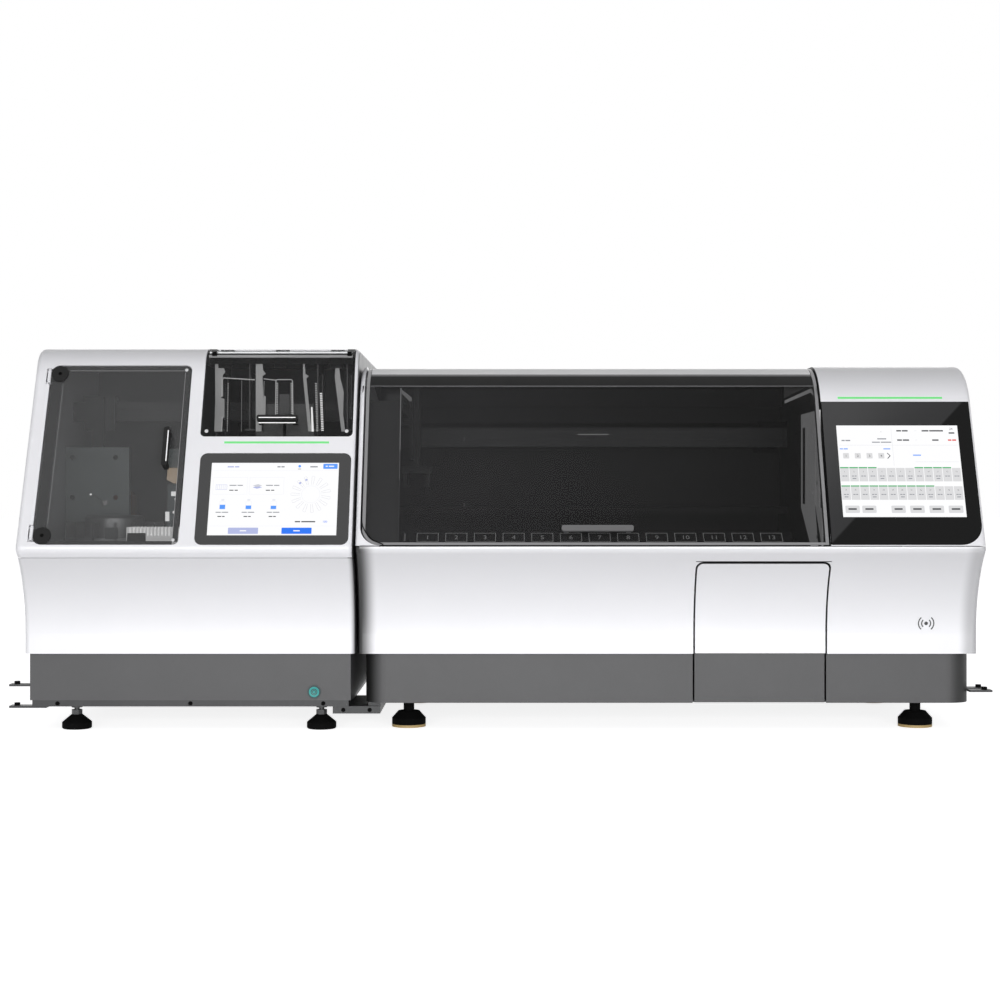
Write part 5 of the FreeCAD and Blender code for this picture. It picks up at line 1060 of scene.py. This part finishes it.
RACK_WIRES = (
    (((221.2, 396.5), (221.6, 380.0), (223.0, 377.9), (254.0, 379.8)), 0.0011, 0),
    (((221.5, 417.2), (220.8, 431.5)), 0.0011, 0),
    (((241.0, 380.5), (240.6, 431.5)), 0.0006, 1),
    (((263.0, 378.8), (275.4, 380.2)), 0.0009, 0),
    (((262.8, 397.5), (263.4, 381.0)), 0.0009, 1),
    (((274.8, 414.5), (275.2, 381.0), (276.2, 379.6), (290.6, 379.6), (291.8, 381.0), (292.2, 414.5)),
     0.0009, 0),
)
# A comb has its left edge at the top and at the foot, its top and foot, the width of a tooth and its material
COMBS = ((275.8, 275.6, 383, 414, 1.5, 1), (289.8, 290.2, 383, 414, 1.5, 1), (314.2, 315.6, 383, 431, 1.8, 1),
         (319.0, 320.6, 393, 431, 2.3, 0), (227.0, 226.0, 383, 431, 0.8, 1))
COMB_D = 0.202
COMB_T = 0.002
TOOTH_PITCH = 1.75
TOOTH_HIGH = 0.9
COMB_PLATES = (
    (((310.2, 407.0), (311.6, 407.0), (313.0, 431.5), (310.8, 431.5)), 0.2, 0.002, 0),
    (((278.8, 394.0), (288.6, 394.0), (289.0, 414.5), (278.6, 414.5)), 0.204, 0.002, 2),
)
lid_face = SlopePart("lid_glass", cov_screen, LID_SLOPE)
corner_buttons(lid_face, ((LID_BUTTON_IN, LID_BUTTON_IN), (lid_face.width - LID_BUTTON_IN, LID_BUTTON_IN)),
               "lid_corner_buttons", "coverslipper_lid", LID_BUTTON_R)


def lid_fittings():
    """Rod with its end blocks, the header above it and the dark band below."""
    solids = Solids()
    solids.wires(LID_ROD, LID_ROD_D)
    solids.slabs(LID_BLOCKS)
    solids.build("bay_front_rod", "frame", "rack_white", [inner_grey, rubber, hub_metal, band_dark])


def hook_plates():
    """Cut-out plates that the slide racks hang from."""
    solids = Solids()
    for outline in HOOK_PLATES:
        solids.slab(outline, HOOK_PLATE_D, HOOK_PLATE_T)
    solids.build("hook_plates", "frame", "rack_white", [hook_grey])


def rack_wires():
    """Bent wire bails and the edges of the racks."""
    solids = Solids()
    solids.wires(RACK_WIRES, RACK_D)
    solids.build("rack_bails", "frame", "rack_white", [painted_highlight, inner_grey])


def toothed_strips():
    """Comb edges that part the slides: each a row of small light teeth."""
    solids = Solids()
    for px_top, px_low, top, low, wide, material in COMBS:
        py = top
        while py < low:
            px = px_top + (px_low - px_top) * (py - top) / (low - top)
            solids.slab(span(px, px + wide, py, py + TOOTH_HIGH), COMB_D, COMB_T, material)
            py += TOOTH_PITCH
    solids.slabs(COMB_PLATES)
    solids.build("slide_comb_teeth", "frame", "rack_white", [inner_white, painted_highlight, rack_dark])


lid_fittings()
hook_plates()
rack_wires()
toothed_strips()

# Bar handles of the lid and the door: painted highlights along their edges
LID_LINE_SHARES = (0.2, 0.72)
LID_LINE_IN = 0.0016
LID_LINE_END = 0.004
LID_LINE_R = 0.0009
DOOR_LINE_IN = 0.0022
DOOR_LINE_FOOT = 0.006
DOOR_LINE_HEAD = 0.008
DOOR_LINE_LIFT = 0.0002
DOOR_LINE_R = 0.001


def lid_handle_lines():
    low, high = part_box("lid_handle")
    solids = Solids()
    for share in LID_LINE_SHARES:
        y = low.y + LID_LINE_IN
        z = low.z + (high.z - low.z) * share
        solids.rod([Vector((low.x + LID_LINE_END, y, z)), Vector((high.x - LID_LINE_END, y, z))], LID_LINE_R)
    solids.build("lid_handle_painted_highlights", "coverslipper_lid", "trim_grey", [painted_highlight])


def door_handle_line():
    low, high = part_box("door_handle")
    v_low = (low.z - door_face.origin.z) / door_face.up.z
    proud = (low.y - door_face.origin.y - v_low * door_face.up.y) / door_face.out.y
    v_high = (high.z - door_face.origin.z - proud * door_face.out.z) / door_face.up.z
    u = high.x - door_face.origin.x - DOOR_LINE_IN
    ends = (v_low + DOOR_LINE_FOOT, v_high - DOOR_LINE_HEAD)
    solids = Solids()
    solids.rod([door_face.at(u, v, proud + DOOR_LINE_LIFT) for v in ends], DOOR_LINE_R)
    solids.build("door_handle_painted_highlight", "coverslipper_door", "trim_grey", [painted_highlight])


lid_handle_lines()
door_handle_line()

# Crown of the hood: radius, depth and height of its bend. Its opaque bands run from one angle to another, in
# degrees, each with a tone.
HOOD_CROWN_R = 0.1062
HOOD_CROWN_D = 0.2147
HOOD_CROWN_Z = 0.587
HOOD_LEFT = -0.2508
HOOD_RIGHT = 0.6013
CROWN_BANDS = ((39.2, 40, "line"), (40, 56, "band"), (56, 60, "soft"), (60, 90, "strip"))
CROWN_STEP = 3
CROWN_TONES = {"line": PRINT["dim"], "band": band_dark, "soft": side_shade, "strip": crown_grey}


def on_crown(u, angle, lift):
    a = math.radians(angle)
    r = HOOD_CROWN_R + lift
    return Vector((u, LIP_Y + HOOD_CROWN_D - r * math.cos(a), HOOD_CROWN_Z + r * math.sin(a)))


def crown_strip():
    art = Art(on_crown, CROWN_TONES)
    for low, high, tone in CROWN_BANDS:
        steps = math.ceil((high - low) / CROWN_STEP)
        step = (high - low) / steps
        for k in range(steps):
            art.rect(HOOD_LEFT, low + k * step, HOOD_RIGHT - HOOD_LEFT, step, tone)
    art.build("hood_crown_strip", "hood", "smoked")


crown_strip()

# Hood: the seal down both its sides, as places on the photograph
HOOD_SLOPE = 0.29
GASKET_R = 0.0011
GASKET_LIFT = 0.0006
GASKET_LEFT = ((362.6, 386), (361.9, 400), (361.2, 435), (360.6, 518), (361.6, 526), (365.2, 533),
               (371.5, 540), (382.5, 544.6))
GASKET_RIGHT = ((816.2, 386), (820.2, 410), (824.2, 460), (829.0, 520), (830.8, 544.6))
hood_slope = SlopePart("hood_glass", stn_screen, HOOD_SLOPE)


def hood_gasket():
    """Black seal that runs down both sides of the hood."""
    solids = Solids()
    for line in (GASKET_LEFT, GASKET_RIGHT):
        solids.rod([hood_slope.at(*hood_slope.seen(px, py), GASKET_LIFT) for px, py in line], GASKET_R)
    solids.build("hood_side_gasket", "frame", "black_plastic", [rubber])


hood_gasket()

# Chamber behind the hood: openings of the guide plate, edges, side board, brackets and parts of the rail
GUIDE_FACE_X = 0.6087
GUIDE_SLOT = (0.262, 0.427, 0.028, 0.153)
GUIDE_HOLES = ((0.131, 0.364), (0.131, 0.468))
GUIDE_HOLE_R = 0.0042
CHAMBER_EDGE = ((400.2, 388, 0.115), (397.6, 543, 0.024))
CHAMBER_EDGE_R = 0.0007
SIDE_BOARD_X = (-0.26, -0.191)
SIDE_BOARD_V = (0.004, 0.3)
SIDE_BOARD_IN = 0.022
SIDE_BOARD_T = 0.002
BRACKETS = (
    (((783.5, 380.5), (813, 377.5), (813, 384), (807, 386.5), (783.5, 398)), 0.186, 0.003, 0),
    (((784, 400.5), (810, 388.5), (813, 391), (813, 396), (810, 392.5), (784, 403.5)), 0.184, 0.003, 1),
    (((371, 378), (386, 378), (380, 386.5), (371, 386.5)), 0.186, 0.003, 0),
)
FLAG = (((401, 389.5), (411, 397.5), (411.2, 411.5), (401, 406)), 0.488, 0.002)
RAIL_D = 0.497
RAIL_LINE = ((((577, 434.4), (608, 434.4)), 0.0007, 0),)
RAIL_CLIPS = ((463, 503), (517, 506), (664, 506), (463, 437))
RAIL_CLIP_PX = (1.1, 4)
RAIL_CLIP_T = 0.002


def guide_openings():
    """Long slot and two screw holes of the guide plate at the right of the chamber."""
    art = Art(lambda u, v, lift: Vector((GUIDE_FACE_X - lift, LIP_Y + u, v)), PRINT)
    art.rect(*GUIDE_SLOT, "border")
    for d, z in GUIDE_HOLES:
        art.disc(d, z, GUIDE_HOLE_R, "border")
    art.build("guide_plate_openings", "frame", "dark_metal")


def chamber_edges():
    solids = Solids()
    solids.rod([seen(*place) for place in CHAMBER_EDGE], CHAMBER_EDGE_R)
    solids.build("chamber_edges", "frame", "dark_metal", [PRINT["dim"]])


def chamber_side_board():
    """Board at the left of the chamber, along the slope of the hood."""
    solids = Solids()
    left, right = [x - hood_slope.origin.x for x in SIDE_BOARD_X]
    low, high = SIDE_BOARD_V
    corners = [hood_slope.at(u, v, -SIDE_BOARD_IN) for u, v in span(left, right, low, high)]
    solids.panel(corners, -hood_slope.out * SIDE_BOARD_T)
    solids.build("chamber_side_board", "frame", "dark_metal", [board_grey])


def hood_stop_brackets():
    solids = Solids()
    solids.slabs(BRACKETS)
    solids.build("hood_stop_brackets", "frame", "dark_metal", [board_grey, guide_grey])


def carriage_flag():
    solids = Solids()
    solids.slab(*FLAG)
    solids.build("x_carriage_flag", "gantry_x", "dark_metal", [guide_grey])


def rail_clips():
    """Painted highlight along the X rail, and its clips."""
    solids = Solids()
    solids.wires(RAIL_LINE, RAIL_D)
    for px, py in RAIL_CLIPS:
        solids.slab(span(px, px + RAIL_CLIP_PX[0], py, py + RAIL_CLIP_PX[1]), RAIL_D, RAIL_CLIP_T, 1)
    solids.build("x_rail_painted_highlight_and_clips", "frame", "dark_metal", [painted_highlight, plate_grey])


guide_openings()
chamber_edges()
chamber_side_board()
hood_stop_brackets()
carriage_flag()
rail_clips()

# Drawer: rounded upper corners of its opening
CORNER_FILL_R = 0.013
CORNER_FILL_T = 0.003
CORNER_FILL_IN = 0.0003
DRAWER_HOLE_GAP = 0.0035


def drawer_corners():
    low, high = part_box("drawer_front")
    solids = Solids()
    top = high.z + DRAWER_HOLE_GAP
    for x, turn in ((low.x - DRAWER_HOLE_GAP, 1), (high.x + DRAWER_HOLE_GAP, -1)):
        outline = [(x, top)]
        for step in range(7):
            a = math.radians(15 * step)
            across, down = CORNER_FILL_R * (1 - math.sin(a)), CORNER_FILL_R * (1 - math.cos(a))
            outline.append((x + turn * across, top - down))
        corners = [Vector((u, apron_front + apron_depth(z) + CORNER_FILL_IN, z)) for u, z in outline]
        solids.panel(corners, Vector((0, CORNER_FILL_T, 0)))
    solids.build("drawer_corner_fillets", "frame", "white", [right_apron], smooth=False)


drawer_corners()

# Rear: screws round the panels, each column with the side of its edge that it stands on
REAR_SCREW_R = 0.004
REAR_SCREW_SINK = 0.0006
REAR_SCREW_INSET = 0.016
REAR_SCREW_ZS = (0.2, 0.42, 0.62)
REAR_SCREW_XS = ((-0.9, 1), (-0.275, -1), (-0.27, 1), (0.612, -1), (0.9, -1))
REAR_SCREW = ((1, 0), (1, 0.001), (0.8, 0.0017), (0.42, 0.0017), (0.36, 0.0008))


def rear_screws():
    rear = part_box("rear_panels")[1].y
    solids = Solids()
    profile = [(REAR_SCREW_R * share, h) for share, h in REAR_SCREW]
    for x, side in REAR_SCREW_XS:
        for z in REAR_SCREW_ZS:
            place = Vector((x + side * REAR_SCREW_INSET, rear - REAR_SCREW_SINK, z))
            solids.turned(place, BACK, profile, 0, 16)
    solids.build("rear_panel_screws", "frame", "steel", [dull_steel])


rear_screws()

# Power button: dark rings round a teal dish
BUTTON_RINGS = ((0.0026, 0.0036), (0.005, 0.0062))
BUTTON_RING_LIFT = 0.00022


def button_rings():
    low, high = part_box("power_button")
    middle = (low + high) / 2
    art = Art(lambda u, v, lift: Vector((middle.x + u, low.y - BUTTON_RING_LIFT - lift, middle.z + v)), PRINT)
    for inner_r, outer_r in BUTTON_RINGS:
        art.arc(0, 0, inner_r, outer_r, 0, 360, "mark")
    art.build("power_button_rings", "frame", "teal")


button_rings()

# Filter pads at the inner ends of the two exhaust collars
PAD_R = 0.047
PAD_T = 0.004
PAD_IN = 0.007
EXHAUST_XS = (-0.5875, 0.03)


def filter_pads():
    low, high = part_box("exhaust_collars")
    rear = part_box("rear_panels")[1].y
    solids = Solids()
    for x in EXHAUST_XS:
        place = Vector((x, rear - PAD_IN, (low.z + high.z) / 2))
        solids.turned(place, FRONT, [(PAD_R, 0), (PAD_R, PAD_T)], 0, 32)
    solids.build("exhaust_filter_pads", "frame", "black_plastic", [band_dark])


filter_pads()

# Left compartment behind the door, again as places on the photograph
CONNECTORS = ((span(170.4, 177.8, 491.5, 496), 0.1, 0.006, 0),
              (span(164.5, 168.0, 511.8, 521.2), 0.1, 0.006, 0))
KNOBS = ((177.1, 486.3), (175.4, 499.2), (173.4, 512.2))
KNOB_D = 0.094
KNOB = ((0.0027, 0), (0.0027, 0.003), (0.0018, 0.0038))
BLOCKS = (
    (((168.7, 448.7), (179.9, 448.7), (178.2, 467.6), (166.6, 467.6)), 0.1, 0.012, 0),
    (((167.0, 467.9), (179.5, 467.9), (177.6, 483.8), (172.5, 483.2), (165.9, 479.5)), 0.096, 0.016, 1),
    (((167.0, 484.4), (176.0, 484.4), (174.0, 526.0), (166.0, 526.0)), 0.106, 0.002, 2),
    (span(104.0, 117.0, 527.5, 539.0), 0.11, 0.004, 3),
    (((126.6, 533.0), (144.8, 533.0), (144.8, 541.5), (125.8, 541.5)), 0.099, 0.001, 4),
)
TUBE = ((92.9, 495.2, 0.2), (97, 497.3, 0.19), (100.5, 500.6, 0.18), (102.2, 503.5, 0.18),
        (101.2, 508.5, 0.18))
TUBE_R = 0.0007
TUBE_NUT_AT = (90.2, 494.4, 0.2)
TUBE_NUT = ((0.0018, 0), (0.0018, 0.003), (0.0008, 0.0036))
TUBE_CLIP = (((101.6, 501.0), (106.5, 500.4), (106.0, 504.8), (102.0, 505.0)), 0.185, 0.004, 2)


def compartment_connectors():
    solids = Solids()
    solids.slabs(CONNECTORS)
    for px, py in KNOBS:
        solids.turned(seen(px, py, KNOB_D), FRONT, KNOB, 0, 16)
    solids.build("compartment_connectors", "frame", "inner_grey", [inner_white])


def compartment_blocks():
    solids = Solids()
    solids.slabs(BLOCKS)
    solids.build("compartment_blocks", "frame", "inner_grey", [plate_blue, tan_block, board, inner, rubber])


def mountant_line():
    """Thin tube of the mountant with its nut and clip."""
    solids = Solids()
    solids.rod([seen(*place) for place in TUBE], TUBE_R)
    solids.turned(seen(*TUBE_NUT_AT), FRONT, TUBE_NUT, 1, 14)
    solids.slab(*TUBE_CLIP)
    solids.build("mountant_needle_line", "frame", "inner_grey", [plate_grey, inner_white, inner_grey])


compartment_connectors()
compartment_blocks()
mountant_line()


# Stage
def clear_rays(tree):
    """1 for rays of the camera, of reflections and through clear sheets, and 0 for the others."""
    path = tree.nodes.new("ShaderNodeLightPath")
    share = path.outputs["Is Camera Ray"]
    for ray in ("Is Glossy Ray", "Is Transmission Ray"):
        most = tree.nodes.new("ShaderNodeMath")
        most.operation = "MAXIMUM"
        tree.links.new(share, most.inputs[0])
        tree.links.new(path.outputs[ray], most.inputs[1])
        share = most.outputs[0]
    return share


def floor_finish(name):
    """Pale floor that keeps shadows and looks white to the camera and in reflections."""
    material, tree, shader = shader_of(name)
    shader.inputs["Base Color"].default_value = (*FLOOR_WHITE, 1)
    shader.inputs["Roughness"].default_value = 0.9
    shader.inputs["Specular IOR Level"].default_value = 0.0
    level = tree.nodes.new("ShaderNodeMath")
    level.operation = "MULTIPLY"
    level.inputs[1].default_value = FLOOR_GLOW
    tree.links.new(clear_rays(tree), level.inputs[0])
    shader.inputs["Emission Color"].default_value = (1, 1, 1, 1)
    tree.links.new(level.outputs[0], shader.inputs["Emission Strength"])
    return material


floor_mesh = bpy.data.meshes.new("floor")
half = FLOOR_SIZE / 2
floor_mesh.from_pydata([(x, y, 0) for x, y in span(-half, half, -half, half)], [], [(0, 1, 2, 3)])
floor_mesh.materials.append(floor_finish("pale_floor"))
floor = bpy.data.objects.new("floor", floor_mesh)
scene.collection.objects.link(floor)

world = bpy.data.worlds.new("studio")
world.use_nodes = True
scene.world = world
sky_tree = world.node_tree
soft = sky_tree.nodes["Background"]
soft.inputs["Color"].default_value = (*SKY_WHITE, 1)
soft.inputs["Strength"].default_value = WORLD_LEVEL
shown_sky = sky_tree.nodes.new("ShaderNodeBackground")
shown_sky.inputs["Color"].default_value = (1, 1, 1, 1)
shown_sky.inputs["Strength"].default_value = 1.0
blend = sky_tree.nodes.new("ShaderNodeMixShader")
sky_tree.links.new(clear_rays(sky_tree), blend.inputs["Fac"])
sky_tree.links.new(soft.outputs[0], blend.inputs[1])
sky_tree.links.new(shown_sky.outputs[0], blend.inputs[2])
sky_tree.links.new(blend.outputs[0], sky_tree.nodes["World Output"].inputs["Surface"])

# Lamps: watts, size, place and aim
LAMPS = (
    ("front_softbox", KEY_WATTS, (4.2, 1.6), (0, -4.2, 0.42), (0, 0, 0.3)),
    ("top_softbox", TOP_WATTS, (3.6, 2.0), (0, 0.4, 2.9), (0, 0, 0.4)),
    ("rear_softbox", REAR_WATTS, (4.0, 2.0), (0, 4.2, 1.4), (0, 0, 0.4)),
)


def area_light(name, watts, size, place, aim):
    data = bpy.data.lights.new(name, "AREA")
    data.energy = watts
    data.shape = "RECTANGLE"
    data.size, data.size_y = size
    made = bpy.data.objects.new(name, data)
    made.location = place
    made.rotation_euler = (Vector(aim) - Vector(place)).to_track_quat("-Z", "Y").to_euler()
    scene.collection.objects.link(made)


for lamp in LAMPS:
    area_light(*lamp)

scene.view_settings.view_transform = "Standard"
